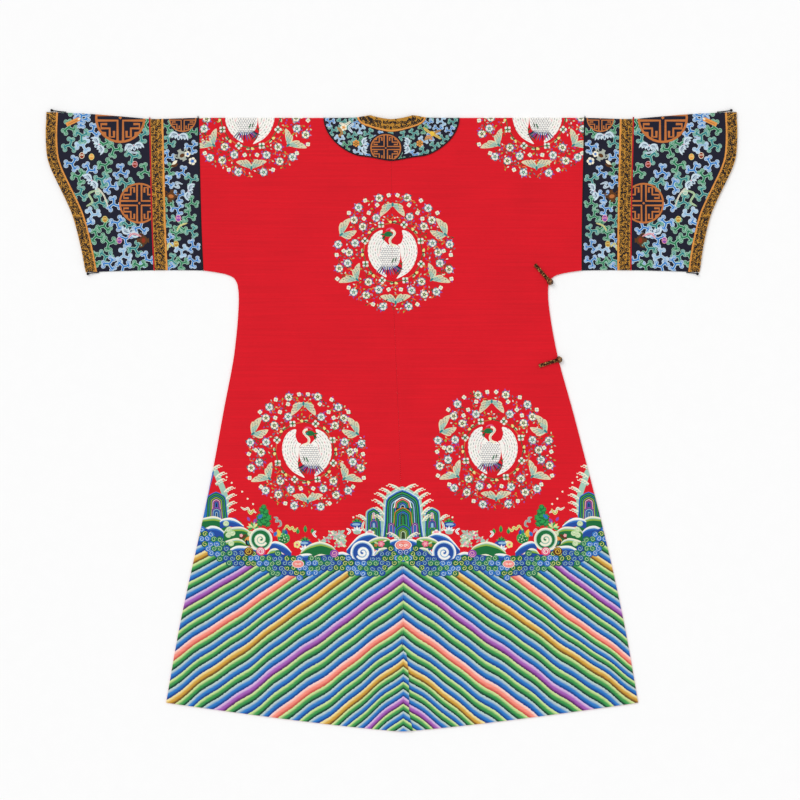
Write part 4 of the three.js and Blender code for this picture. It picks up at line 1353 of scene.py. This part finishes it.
def sleeve_run(side, line, height, count=34):
    """Points round a sleeve along a line, from the underarm seam over the shoulder and back to it."""
    drops = np.linspace(float(sleeve_end(side * line(348.0), height)), 4, count)
    us = side * line(drops)
    back = np.stack([us, drops], axis=-1)
    return np.vstack([
        back, over_fold(side * float(line(0)), height), front_line(us[::-1], drops[::-1], height)])


def sleeve_outline(side, start_line, end_line, height):
    """A sleeve piece opened out at its underarm seam."""
    inner, outer = sleeve_run(side, start_line, height), sleeve_run(side, end_line, height)
    across = np.linspace(outer[-1, 0], inner[-1, 0], 8)[1:-1]
    front_end = front_line(across, sleeve_end(across, height), height)
    across = np.linspace(inner[0, 0], outer[0, 0], 8)[1:-1]
    back_end = np.stack([across, sleeve_end(across, height)], axis=-1)
    return np.vstack([inner[::-1], back_end, outer, front_end])


def ring_outline(sizes, height, grow=0.0):
    """An opened-out outline round the neck, given by half width and drops."""
    across, back, front = (size + grow for size in sizes)
    a = np.radians(np.concatenate([
        np.arange(0, 12, 1.5), np.arange(12, 168, 4), np.arange(168, 192, 1.5), np.arange(192, 348, 4),
        np.arange(348, 360, 1.5)]))
    us = across * np.cos(a)
    path = np.where(np.sin(a) > 0, back, front) * np.sin(a)
    apex = shoulder(us)
    radius = height(us, apex) / 2
    return np.stack([us, apex + radius + path - math.pi / 2 * radius], axis=-1)


# Trims and cords


def grid_shell(name, outer, inner, closed):
    """A closed shell between two grids of points, whose rows follow its length."""
    rows, columns = outer.shape[:2]
    count = rows * columns

    def at(layer, i, j):
        return layer * count + (i % rows) * columns + j

    faces = []
    for i in range(rows if closed else rows - 1):
        for j in range(columns - 1):
            faces.append((at(0, i, j), at(0, i, j + 1), at(0, i + 1, j + 1), at(0, i + 1, j)))
            faces.append((at(1, i, j), at(1, i + 1, j), at(1, i + 1, j + 1), at(1, i, j + 1)))
        for j in (0, columns - 1):
            faces.append((at(0, i, j), at(0, i + 1, j), at(1, i + 1, j), at(1, i, j)))
    if not closed:
        for i in (0, rows - 1):
            for j in range(columns - 1):
                faces.append((at(0, i, j), at(0, i, j + 1), at(1, i, j + 1), at(1, i, j)))
    points = np.vstack([outer.reshape(-1, 3), inner.reshape(-1, 3)])
    return new_piece(name, points, faces, 60)


def new_piece(name, points, faces, sharp=180):
    """A smooth-shaded closed mesh with its faces outwards."""
    mesh = bpy.data.meshes.new(name)
    mesh.from_pydata(np.asarray(points).tolist(), [], [tuple(map(int, face)) for face in faces])
    shape = bmesh.new()
    shape.from_mesh(mesh)
    bmesh.ops.recalc_face_normals(shape, faces=shape.faces)
    shape.to_mesh(mesh)
    shape.free()
    mesh.polygons.foreach_set("use_smooth", [True] * len(mesh.polygons))
    mesh.set_sharp_from_angle(angle=math.radians(sharp))
    piece = bpy.data.objects.new(name, mesh)
    bpy.context.scene.collection.objects.link(piece)
    return piece


def rolled_trim(name, runs, wall, height, bulge, sleeve, closed, material):
    """A narrow strip with a crowned back, between side-by-side lines of (u, v) places."""
    grid = np.stack(runs, axis=1)
    u, v = grid[..., 0], grid[..., 1]
    crown = bulge * np.sin(math.pi * np.linspace(0, 1, len(runs)))
    outer = cloth_points(u, v, -crown, height, sleeve)
    outer[..., 2] = np.maximum(outer[..., 2], 0)
    inner = cloth_points(u, v, wall + 0 * u, height, sleeve)
    piece = grid_shell(name, outer, inner, closed)
    piece.data.materials.append(material)
    return piece


def tube(path, thick, sides=9, lobes=3, twist=0.5, depth=0.14):
    """Points and faces of a twisted cord along a path in metres, closed at both ends."""
    path = np.array(path, float)
    along = np.gradient(path, axis=0)
    along /= np.linalg.norm(along, axis=1)[:, None]
    up = np.array((0.03, 0.02, 1.0))
    aside = np.cross(along, up)
    aside /= np.linalg.norm(aside, axis=1)[:, None]
    upward = np.cross(aside, along)
    points, faces = [], []
    for i, middle in enumerate(path):
        for k in range(sides):
            a = 2 * math.pi * k / sides
            r = thick / 2 * (1 - depth * (0.5 - 0.5 * math.cos(lobes * (a - twist * i))))
            points.append(middle + r * (math.cos(a) * aside[i] + math.sin(a) * upward[i]))
    for i in range(len(path) - 1):
        for k in range(sides):
            m = (k + 1) % sides
            faces.append((i * sides + k, i * sides + m, (i + 1) * sides + m, (i + 1) * sides + k))
    faces += [tuple(range(sides)), tuple(range(len(points) - sides, len(points)))]
    return points, faces


def joined_tubes(name, tubes, material):
    points, faces = [], []
    for more_points, more_faces in tubes:
        start = len(points)
        points += list(more_points)
        faces += [tuple(start + k for k in face) for face in more_faces]
    piece = new_piece(name, points, faces, 70)
    piece.data.materials.append(material)
    return piece


def ribbed_ball(name, middle, radius, ribs, material):
    """A cast ball button with ribs and a small boss on top."""
    profile = [(0.0, -1.0)] + [(math.sin(a), -math.cos(a)) for a in np.linspace(0.28, 2.6, 11)]
    profile += [(0.44, 0.93), (0.3, 0.97), (0.22, 1.06), (0.0, 1.09)]
    around = 6 * ribs
    points = [(0, 0, -1)]
    for reach, up in profile[1:-1]:
        for k in range(around):
            a = 2 * math.pi * k / around
            rib = 1 - 0.1 * (0.5 + 0.5 * math.cos(ribs * a)) * max(0, 1 - abs(up) ** 2)
            points.append((rib * reach * math.cos(a), rib * reach * math.sin(a), up))
    points.append((0, 0, profile[-1][1]))
    rows = len(profile) - 2
    faces = [(0, 1 + (k + 1) % around, 1 + k) for k in range(around)]
    for i in range(rows - 1):
        for k in range(around):
            m = (k + 1) % around
            lower, upper = 1 + i * around, 1 + (i + 1) * around
            faces.append((lower + k, lower + m, upper + m, upper + k))
    top = len(points) - 1
    faces += [(top, top - around + k, top - around + (k + 1) % around) for k in range(around)]
    piece = new_piece(name, np.array(points) * radius + middle, faces, 50)
    piece.data.materials.append(material)
    return piece


# Node tools for what repeats along a path


def node_adder(tree, family=""):
    """A function that adds a node to a tree, with its inputs and settings."""

    def node(kind, inputs=None, **settings):
        made = tree.nodes.new(family + kind)
        for key, value in settings.items():
            setattr(made, key, value)
        for key, value in (inputs or {}).items():
            socket = made.inputs[key]
            if isinstance(value, bpy.types.NodeSocket):
                tree.links.new(value, socket)
            else:
                socket.default_value = value
        return made

    return node


def maths(node, operation, *values):
    return node("ShaderNodeMath", dict(enumerate(values)), operation=operation).outputs[0]


def node_tool(name, sizes):
    """A node tree that takes a path and named sizes, and a function that adds a node."""
    tree = bpy.data.node_groups.new(name, "GeometryNodeTree")
    tree.interface.new_socket("Path", in_out="INPUT", socket_type="NodeSocketGeometry")
    for size, value in sizes.items():
        socket = tree.interface.new_socket(size, in_out="INPUT", socket_type="NodeSocketFloat")
        socket.default_value = value
    tree.interface.new_socket("Material", in_out="INPUT", socket_type="NodeSocketMaterial")
    tree.interface.new_socket("Geometry", in_out="OUTPUT", socket_type="NodeSocketGeometry")
    return tree, node_adder(tree), tree.nodes.new("NodeGroupInput").outputs


def end_tool(tree, node, source, geometry):
    whole = node("GeometryNodeRealizeInstances", {"Geometry": geometry}).outputs[0]
    dressed = node("GeometryNodeSetMaterial", {"Geometry": whole, "Material": source["Material"]}).outputs[0]
    tree.links.new(dressed, tree.nodes.new("NodeGroupOutput").inputs[0])
    return tree


def stitch_tool():
    """Small raised stitches spaced along a path."""
    tree, node, source = node_tool("stitches", {"Spacing": 0.0032, "Length": 0.0024, "Width": 0.0007})
    curve = node("GeometryNodeMeshToCurve", {"Mesh": source["Path"]}).outputs[0]
    spots = node("GeometryNodeCurveToPoints", {"Curve": curve, "Length": source["Spacing"]}, mode="LENGTH")
    turn = node("FunctionNodeAlignRotationToVector", {"Vector": spots.outputs["Tangent"]}, axis="X")
    vary = node("FunctionNodeRandomValue", data_type="FLOAT")
    vary.inputs[2].default_value = 0.4
    vary.inputs[3].default_value = 0.56
    vary.inputs["Seed"].default_value = 7
    long = maths(node, "MULTIPLY", source["Length"], vary.outputs[1])
    wide = maths(node, "MULTIPLY", source["Width"], 0.5)
    size = node("ShaderNodeCombineXYZ", {0: long, 1: wide, 2: wide}).outputs[0]
    bead = node("GeometryNodeMeshUVSphere", {"Segments": 6, "Rings": 4, "Radius": 1.0}).outputs[0]
    rows = node("GeometryNodeInstanceOnPoints", {"Points": spots.outputs["Points"], "Instance": bead,
                                                 "Rotation": turn.outputs[0], "Scale": size}).outputs[0]
    return end_tool(tree, node, source, rows)


def plait_tool():
    """Three strands plaited flat along a path."""
    sizes = {"Across": 0.003, "Rise": 0.0008, "Strand": 0.00125, "Turns": 2.5}
    tree, node, source = node_tool("plait", sizes)
    curve = node("GeometryNodeMeshToCurve", {"Mesh": source["Path"]}).outputs[0]
    curve = node("GeometryNodeResampleCurve", {"Curve": curve, "Count": 84}).outputs[0]
    share = node("GeometryNodeSplineParameter").outputs["Factor"]
    tangent = node("GeometryNodeInputTangent").outputs[0]
    aside = node("ShaderNodeVectorMath", {0: tangent, 1: (0, 0, 1)}, operation="CROSS_PRODUCT").outputs[0]
    ring = node("GeometryNodeCurvePrimitiveCircle", {"Resolution": 8, "Radius": source["Strand"]}).outputs[0]
    joined = node("GeometryNodeJoinGeometry")
    full = maths(node, "MULTIPLY", source["Turns"], 2 * math.pi)
    for k in range(3):
        start = 2 * math.pi * k / 3
        angle = maths(node, "MULTIPLY_ADD", share, full, start)
        wave = maths(node, "SINE", angle)
        double = maths(node, "MULTIPLY", angle, 2.0)
        hop = maths(node, "SINE", double)
        out = maths(node, "MULTIPLY", wave, source["Across"])
        up = maths(node, "MULTIPLY", hop, source["Rise"])
        sideways = node("ShaderNodeVectorMath", {0: aside, "Scale": out}, operation="SCALE").outputs[0]
        upwards = node("ShaderNodeCombineXYZ", {2: up}).outputs[0]
        offset = node("ShaderNodeVectorMath", {0: sideways, 1: upwards}, operation="ADD").outputs[0]
        strand = node("GeometryNodeSetPosition", {"Geometry": curve, "Offset": offset}).outputs[0]
        cord = node("GeometryNodeCurveToMesh", {"Curve": strand, "Profile Curve": ring, "Fill Caps": True})
        tree.links.new(cord.outputs[0], joined.inputs[0])
    return end_tool(tree, node, source, joined.outputs[0])


def made_by(tool, name, paths, material, **sizes):
    """The plain mesh that a node tool makes along paths in metres."""
    points = np.vstack(paths)
    edges, start = [], 0
    for path in paths:
        edges += [(start + k, start + k + 1) for k in range(len(path) - 1)]
        start += len(path)
    mesh = bpy.data.meshes.new(name)
    mesh.from_pydata(points.tolist(), edges, [])
    piece = bpy.data.objects.new(name, mesh)
    bpy.context.scene.collection.objects.link(piece)
    modifier = piece.modifiers.new("tool", "NODES")
    modifier.node_group = tool
    for item in tool.interface.items_tree:
        if item.name == "Material":
            modifier[item.identifier] = material
        elif item.name in sizes:
            modifier[item.identifier] = sizes[item.name]
    evaluated = piece.evaluated_get(bpy.context.evaluated_depsgraph_get())
    result = bpy.data.meshes.new_from_object(evaluated)
    piece.modifiers.remove(modifier)
    piece.data = result
    bpy.data.meshes.remove(mesh)
    result.polygons.foreach_set("use_smooth", [True] * len(result.polygons))
    return piece


# Finishes


def finish(name, roughness, sheen=0.0, metallic=0.0):
    """A new material, a function that adds a node, and one that feeds the surface shader."""
    material = bpy.data.materials.new(name)
    material.use_nodes = True
    tree = material.node_tree
    surface = tree.nodes["Principled BSDF"]
    surface.inputs["Roughness"].default_value = roughness
    surface.inputs["Metallic"].default_value = metallic
    surface.inputs["Specular IOR Level"].default_value = 0.16
    surface.inputs["Sheen Weight"].default_value = sheen
    surface.inputs["Sheen Roughness"].default_value = 0.5

    def feed(socket, value):
        tree.links.new(value, surface.inputs[socket])

    return material, node_adder(tree, "ShaderNode"), feed


def noise(node, where, scales, detail=2.0):
    stretched = node("Mapping", {"Vector": where, "Scale": scales}).outputs[0]
    return node("TexNoise", {"Vector": stretched, "Scale": 1.0, "Detail": detail}).outputs[0]


def ranged(node, value, low, high):
    inputs = {"Value": value, "From Min": 0.25, "From Max": 0.75, "To Min": low, "To Max": high}
    return node("MapRange", inputs).outputs[0]


def product(node, a, b):
    return node("Math", {0: a, 1: b}, operation="MULTIPLY").outputs[0]


def weave(node, feed, where, colour, streak=0.08, rib=0.0011, depth=0.00012):
    """Colour with the streaks of a hand-thrown weft, and the fine ribs of the warp."""
    bands = ranged(node, noise(node, where, (5, 230, 1)), 1 - streak, 1 + streak)
    runs = ranged(node, noise(node, where, (90, 700, 1)), 1 - 0.6 * streak, 1 + 0.6 * streak)
    clouds = ranged(node, noise(node, where, (9, 9, 1), 4.0), 1 - 0.7 * streak, 1 + 0.7 * streak)
    value = product(node, product(node, bands, runs), clouds)
    shade = node("HueSaturation", {"Value": value, "Color": colour}).outputs[0]
    feed("Base Color", shade)
    ribs = node("TexWave", {"Vector": where, "Scale": 0.314 / rib, "Distortion": 0.6, "Detail": 1.0},
                bands_direction="X").outputs["Fac"]
    picks = noise(node, where, (500, 1500, 1), 1.0)
    height = node("Math", {0: ribs, 1: picks}, operation="ADD").outputs[0]
    feed("Normal", node("Bump", {"Height": height, "Strength": 0.55, "Distance": depth}).outputs[0])


def dyed_cloth(name, roughness, sheen, streak=0.08, rib=0.0011, metallic=0.0):
    material, node, feed = finish(name, roughness, sheen, metallic)
    where = node("UVMap", uv_map="cloth").outputs[0]
    dye = node("Attribute", attribute_name="dye").outputs["Color"]
    weave(node, feed, where, dye, streak, rib)
    return material


STRIPE_DYES = {
    "gold": ("#f0dc9a", "#cf9d3c", "#6d4a1c"),
    "purple": ("#d9b7df", "#a35bb4", "#5c2464"),
    "coral": ("#f9cfc4", "#f68d7c", "#c8574a"),
    "green": ("#cbe098", "#3d9a50", "#0a3c2e"),
    "blue": ("#b9cdcb", "#2a7ac6", "#16408a"),
}
ACCENT_ORDER = ("gold", "purple", "coral")


def striped_cloth(name):
    """Slanting stripes, each light along its upper edge and deep along its lower one."""
    material, node, feed = finish(name, 0.6, 0.03)
    where = node("UVMap", uv_map="cloth").outputs[0]
    number = node("Attribute", attribute_name="stripe").outputs["Fac"]
    wobble = noise(node, where, (60, 420, 1), 1.0)
    wavering = node("Math", {0: wobble, 1: 0.16, 2: 0.42}, operation="MULTIPLY_ADD").outputs[0]
    number = node("Math", {0: number, 1: wavering}, operation="ADD").outputs[0]
    whole = node("Math", {0: number}, operation="FLOOR").outputs[0]
    within = node("Math", {0: number}, operation="FRACT").outputs[0]
    order = [dye for accent in ACCENT_ORDER for dye in (accent, "green", "blue", "green", "blue")]
    turn = node("Math", {0: whole, 1: float(len(order))}, operation="FLOORED_MODULO").outputs[0]
    share = node("Math", {0: turn, 1: 0.5}, operation="ADD").outputs[0]
    share = node("Math", {0: share, 1: float(len(order))}, operation="DIVIDE").outputs[0]

    def tone(which):
        ramp = node("ValToRGB", {"Fac": share})
        ramp.color_ramp.interpolation = "CONSTANT"
        elements = ramp.color_ramp.elements
        for k, dye in enumerate(order):
            element = elements[k] if k < 2 else elements.new(k / len(order))
            element.position = k / len(order)
            element.color = linear(STRIPE_DYES[dye][which])
        return ramp.outputs[0]

    def blended(fac, first, second):
        inputs = {"Factor": fac, 6: first, 7: second}
        return node("Mix", inputs, data_type="RGBA").outputs[2]

    def part(start, end):
        inputs = {"Value": within, "From Min": start, "From Max": end}
        return node("MapRange", inputs, interpolation_type="SMOOTHSTEP").outputs[0]

    colour = blended(part(0.1, 0.5), tone(0), tone(1))
    colour = blended(part(0.52, 0.9), colour, tone(2))
    weave(node, feed, where, colour, 0.06)
    return material


def plain_silk(name, code, roughness, sheen, rib=0.0011, metallic=0.0):
    material, node, feed = finish(name, roughness, sheen, metallic)
    where = node("TexCoord").outputs["Object"]
    colour = node("RGB").outputs[0]
    colour.default_value = linear(code)
    weave(node, feed, where, colour, 0.12, rib)
    return material


def speckled(name, codes, roughness, metallic, scale):
    """Three mingled tones with a fine grain."""
    material, node, feed = finish(name, roughness, 0.0, metallic)
    where = node("TexCoord").outputs["Object"]
    ramp = node("ValToRGB", {"Fac": noise(node, where, (scale, scale, scale), 4.0)})
    elements = ramp.color_ramp.elements
    for k, code in enumerate(codes):
        element = elements[k] if k < 2 else elements.new(1)
        element.position = 0.36 + 0.14 * k
        element.color = linear(code)
    feed("Base Color", ramp.outputs[0])
    grain = noise(node, where, (900, 900, 900), 2.0)
    feed("Roughness", ranged(node, noise(node, where, (300, 300, 300)), roughness - 0.08, roughness + 0.15))
    feed("Normal", node("Bump", {"Height": grain, "Strength": 0.35, "Distance": 0.0002}).outputs[0])
    return material


# Photograph's camera, soft light and a plain floor


def studio():
    scene = bpy.context.scene
    scene.view_settings.view_transform = "Standard"
    camera = bpy.data.objects.new("camera", bpy.data.cameras.new("camera"))
    camera.location = (*VIEW_CENTRE, CAMERA_HEIGHT)
    camera.data.lens = camera.data.sensor_width * CAMERA_HEIGHT / VIEW_WIDTH
    scene.collection.objects.link(camera)
    scene.camera = camera
    world = bpy.data.worlds.new("studio")
    world.use_nodes = True
    world.node_tree.nodes["Background"].inputs["Color"].default_value = (1, 1, 1, 1)
    world.node_tree.nodes["Background"].inputs["Strength"].default_value = 0.8
    scene.world = world
    sun = bpy.data.objects.new("sun", bpy.data.lights.new("sun", "SUN"))
    sun.data.energy = 1.0
    sun.data.angle = math.radians(28)
    sun.rotation_euler = Vector((0.75, -0.75, -1)).to_track_quat("-Z", "Y").to_euler()
    scene.collection.objects.link(sun)
    mesh = bpy.data.meshes.new("floor")
    corners = [(x * FLOOR, y * FLOOR, -0.0002) for x, y in ((-1, -1), (1, -1), (1, 1), (-1, 1))]
    mesh.from_pydata(corners, [], [(0, 1, 2, 3)])
    floor = bpy.data.objects.new("floor", mesh)
    scene.collection.objects.link(floor)
    material, node, feed = finish("floor_paper", 0.9)
    where = node("TexCoord").outputs["Object"]
    grain = ranged(node, noise(node, where, (30, 30, 30)), 0.955, 0.965)
    feed("Base Color", node("CombineColor", {0: grain, 1: grain, 2: grain}).outputs[0])
    floor.data.materials.append(material)


studio()

KESI = dyed_cloth("kesi_silk", 0.62, 0.03, streak=0.07)
STRIPED = striped_cloth("kesi_stripes")
NAVY_KESI = dyed_cloth("kesi_silk_dark", 0.58, 0.02, streak=0.1)
BROCADE = dyed_cloth("gilt_brocade", 0.42, 0.02, streak=0.16, rib=0.0008, metallic=0.15)
BLACK_SILK = plain_silk("black_silk", "#17151c", 0.6, 0.04)
RED_SILK = plain_silk("red_silk", "#c01c28", 0.55, 0.05)
GILT_THREAD = plain_silk("gilt_thread", "#d9a050", 0.4, 0.05, metallic=0.2)
BRAID = speckled("braided_silk", ("#1d0f0a", "#4c2c16", "#c99a55"), 0.6, 0.0, 260)
BUTTON_BRASS = speckled("worn_brass", ("#3a261a", "#7d5636", "#c09066"), 0.34, 0.85, 120)
STITCHES = stitch_tool()
PLAIT = plait_tool()


# Pieces


def dress(piece, slot, *nodes):
    """A piece that stands for CAD nodes and rides with the robe."""
    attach(piece, "root")
    if nodes:
        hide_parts(*nodes)
    return piece


robe_motif = roundels() + [("stripes", hem_cloth())] + water()
apex_line = dense([(APEX, 1000), (APEX, 1380)], 14)

outline = body_outline(-1, left_height)
body_left = woven_cloth("kesi_body_left", outline, robe_motif, "red", WALL, left_height,
                        guides=[apex_line], stripes="left", materials=[KESI, STRIPED])
dress(body_left, "red_kesi", "body_left_half")

outline = body_outline(1, back_height)
body_right = woven_cloth("kesi_body_right", outline, robe_motif, "red", WALL, back_height,
                         guides=[apex_line], stripes="right", materials=[KESI, STRIPED])
dress(body_right, "red_kesi", "body_right_half")

# Outer front that laps to the right side, under the right half
seam_drop = FACING[2] + EDGING_WIDTH + 3 * SEAM_GAP
arm_side = side_line(1, SIDE_START, HEM_CORNER)
hem_us = np.linspace(half_width(HEM_CORNER), SEAM_GAP / 2, 60)
flat_outline = np.vstack([
    dense([(SEAM_GAP / 2, seam_drop + SEAM_GAP), (350.5, 385.6)], 24),
    arm_side[1:],
    np.stack([hem_us, hem_drop(hem_us)], axis=-1)[1:],
    dense([(SEAM_GAP / 2, BODY_LENGTH), (SEAM_GAP / 2, seam_drop + SEAM_GAP)], 24)[1:-1],
])
outline = front_line(*flat_outline.T, back_height)
front = woven_cloth("kesi_front_overlap", outline, [], "red", WALL, back_height, materials=[KESI])
dress(front, "red_kesi", "front_overlap")

# Collar
facing_height = raised(FACING_LIFT + FACING_WALL)
ribbon_height = raised(FACING_LIFT + RIBBON_WALL)
neck_hole = ring_outline(NECK, ribbon_height)
outline = ring_outline(NECK_RIBBON, ribbon_height)
neck_edge = ring_outline(NECK_RIBBON, ribbon_height, -2.4)
neck_ribbon = woven_cloth("brocade_neck_ribbon", outline, neck_scroll(neck_edge), "gold", RIBBON_WALL,
                          ribbon_height, holes=[neck_hole], materials=[BROCADE], spacing=(8, 12))
dress(neck_ribbon, "gold_brocade", "neck_ribbon")

edging = rolled_trim(
    "silk_collar_edging",
    [ring_outline(FACING, ribbon_height, SEAM_GAP + EDGING_WIDTH * k / 4) for k in range(5)],
    RIBBON_WALL, ribbon_height, 0.5, False, True, BLACK_SILK)
dress(edging, "black_silk", "collar_edging")
facing_hole = ring_outline(NECK_RIBBON, facing_height, SEAM_GAP)
outline = ring_outline(FACING, facing_height)
facing = woven_cloth("kesi_collar_facing", outline, collar_motif(), "night", FACING_WALL, facing_height,
                     holes=[facing_hole], materials=[NAVY_KESI], spacing=(9, 14))
dress(facing, "navy_kesi", "collar_facing")

# Corners of a cuff: name, edge, way out, and where across a cord starts and its knot lies
CUFF_CORNERS = [("top", shoulder, -1, 736, 768), ("bottom", sleeve_edge, 1, 664, 689)]

# Sleeves
for hand, side in (("left", -1), ("right", 1)):
    def cuff_ribbon_start(drop):
        return cuff_edge(drop) - CUFF_RIBBON_WIDTH

    def strip(name, node, slot, start_line, end_line, rise, ground, material, motif=(), curved=False):
        height = raised(rise)
        outline = sleeve_outline(side, start_line, end_line, height)
        piece = woven_cloth(f"{name}_{hand}", outline, list(motif), ground, WALL, height, sleeve=True,
                            materials=[material], spacing=(11, 22))
        dress(piece, slot, f"{node}_{hand}")
        if curved:  # the ribbon is cut as a straight strip and eased round the curve; here the run along its outer edge is only worked out, and nothing uses it
            run = sleeve_run(side, end_line, height)
        return piece

    def trim(name, node, slot, start, rise, bulge, material):
        height = raised(rise)
        lines = [joint(start + PIPING_WIDTH * k / 4) for k in range(5)]
        runs = [sleeve_run(side, line, height, 60) for line in lines]
        piece = rolled_trim(f"{name}_{hand}", runs, WALL, height, bulge, True, False, material)
        return dress(piece, slot, f"{node}_{hand}")

    trim("silk_sleeve_edging", "sleeve_edging", "black_silk", BODY_END + SEAM_GAP, RIBBON_RISE / 2, 0.5,
         BLACK_SILK)
    strip("kesi_sleeve_band", "sleeve_band", "navy_kesi", joint(BAND_START),
          joint(RIBBON_START - SEAM_GAP), 0, "night", NAVY_KESI, band_motif(side))
    strip("brocade_sleeve_ribbon", "sleeve_ribbon", "gold_brocade", joint(RIBBON_START),
          joint(RIBBON_END), RIBBON_RISE, "gold", BROCADE, sleeve_scroll(side, joint(RIBBON_START), 29, 1))
    trim("silk_sleeve_piping", "sleeve_piping", "red_silk", RIBBON_END + SEAM_GAP, 0, 0.7, RED_SILK)
    strip("kesi_cuff", "cuff", "navy_kesi", joint(CUFF_START),
          lambda drop: cuff_ribbon_start(drop) - SEAM_GAP, 0, "night", NAVY_KESI, cuff_motif(side))
    strip("brocade_cuff_ribbon", "cuff_ribbon", "gold_brocade", cuff_ribbon_start, cuff_edge,
          RIBBON_RISE / 2, "gold", BROCADE, sleeve_scroll(side, cuff_ribbon_start, 26, 2), curved=True)

    # Knotted cords at the corners of a cuff, sewn down along the edge
    for end, edge, way, starts, knot_at in CUFF_CORNERS:
        shares = np.linspace(0, 1, 26)
        us = mix(starts, knot_at, shares)
        outs = SEAM_GAP + 0.1 + mix(CORD_START, KNOT, shares**2)
        route = place(side * us, edge(us) + way * outs, mix(CORD_START, KNOT, shares) + 0.2)
        turns = np.linspace(0, 2 * math.pi, 61)
        ring = 0.42 * KNOT + 0.24 * KNOT * np.cos(3 * turns)
        rise = 0.3 * KNOT * np.sin(3 * turns)
        ball = np.stack([ring * np.cos(2 * turns), ring * np.sin(2 * turns), rise], axis=-1)[:-1]
        middle = place(side * knot_at, edge(knot_at) + way * (KNOT + 0.4), KNOT)
        cords = [tube(route, CORD / 1000, twist=0.35),
                 tube(ball / 1000 + middle, KNOT_CORD / 1000, lobes=2, twist=0.4)]
        cord = joined_tubes(f"silk_cuff_cord_{end}_{hand}", cords, BLACK_SILK)
        dress(cord, "black_silk", f"cuff_cord_{end}_{hand}")

    # Gilt stitches along the inner edges of the two ribbons
    rows = []
    for inner in (joint(RIBBON_START), cuff_ribbon_start):
        across = float(inner(0))
        drops = np.linspace(float(shoulder(across)) + 2.5, float(sleeve_edge(inner(JOINT_FOOT))) - 2.5, 70)
        us = np.array([float(inner(drop)) for drop in drops])
        for inset in STITCH_ROWS:
            rows.append(place(side * (us + inset), drops, raised(RIBBON_RISE + 0.05)(side * us, drops)))
    row = made_by(STITCHES, f"ribbon_stitches_{hand}", rows, GILT_THREAD)
    dress(row, "gold_brocade")

# Seam stitches down the middle of the back, and round the neck ribbon
drops = np.linspace(FACING[1] + 8, VENT_TOP - 8, 140)
seam = place(0 * drops, drops, back_height(0 * drops, drops) - 0.1)
dress(made_by(STITCHES, "seam_stitches", [seam], RED_SILK, Spacing=0.0045, Width=0.0006), "red_kesi")
on_back = [(u, v) for u, v in ring_outline(NECK_RIBBON, ribbon_height, -1.2) if v > float(shoulder(u)) + 3]
on_back = dense(sorted(on_back), 6)
rim = place(on_back[:, 0], on_back[:, 1], ribbon_height(on_back[:, 0], on_back[:, 1]) + 0.1)
dress(made_by(STITCHES, "neck_stitches", [rim], GILT_THREAD), "gold_brocade")

# Braid fastenings on the right side: name, inner end of the braid, drop of the button
FASTENINGS = [("upper", (322, 332), 371), ("lower", (323, 561), 546.5)]
for end, (from_u, from_drop), drop in FASTENINGS:
    edge = float(underarm(drop) if drop < SIDE_START else half_width(drop))
    button_u, button_z = edge + BUTTON_PAST, float(back_height(edge, drop)) + BUTTON_LIFT
    middle = place(button_u, drop, button_z)
    button = ribbed_ball(f"ribbed_button_{end}", middle, BUTTON / 1000, BUTTON_RIBS, BUTTON_BRASS)
    dress(button, "button", f"fastening_button_{end}")
    run = math.hypot(button_u - from_u, drop - from_drop)
    reach = 1 - (BUTTON + SEAM_GAP) / run
    shares = np.linspace(0, reach, 12)
    us, drops = mix(from_u, button_u, shares), mix(from_drop, drop, shares)
    route = place(us, drops, back_height(us, drops) + BRAID_LIFT)
    braid = made_by(PLAIT, f"plaited_braid_{end}", [route], BRAID)
    aim = math.atan2(from_drop - drop, from_u - button_u)
    turns = np.linspace(aim + LOOP_GAP, aim + 2 * math.pi - LOOP_GAP, 40)
    loop = place(button_u + LOOP * np.cos(turns), drop + LOOP * np.sin(turns),
                 button_z - LOOP_BELOW + 0 * turns)
    cords = [tube(loop, LOOP_CORD / 1000, lobes=2, twist=0.5)]

    # Thread bound round both ends of the braid
    aside = np.array((drop - from_drop, from_u - button_u)) / run
    spin = np.linspace(0, 8 * math.pi, 40)
    across, up = BINDING[0] * np.sin(spin), BINDING[1] * np.cos(spin)
    for start in (0.0, reach - 0.16):
        at = np.linspace(start, start + 0.1, 40)
        wrap_u = mix(from_u, button_u, at) + across * aside[0]
        wrap_drop = mix(from_drop, drop, at) + across * aside[1]
        wrap = place(wrap_u, wrap_drop, back_height(us[0], drops[0]) + BRAID_LIFT + up)
        cords.append(tube(wrap, BINDING_THREAD / 1000, 6, 2, 0.3))
    dress(joined_tubes(f"loop_and_binding_{end}", cords, BRAID), "braid")
    dress(braid, "braid", f"fastening_braid_{end}")
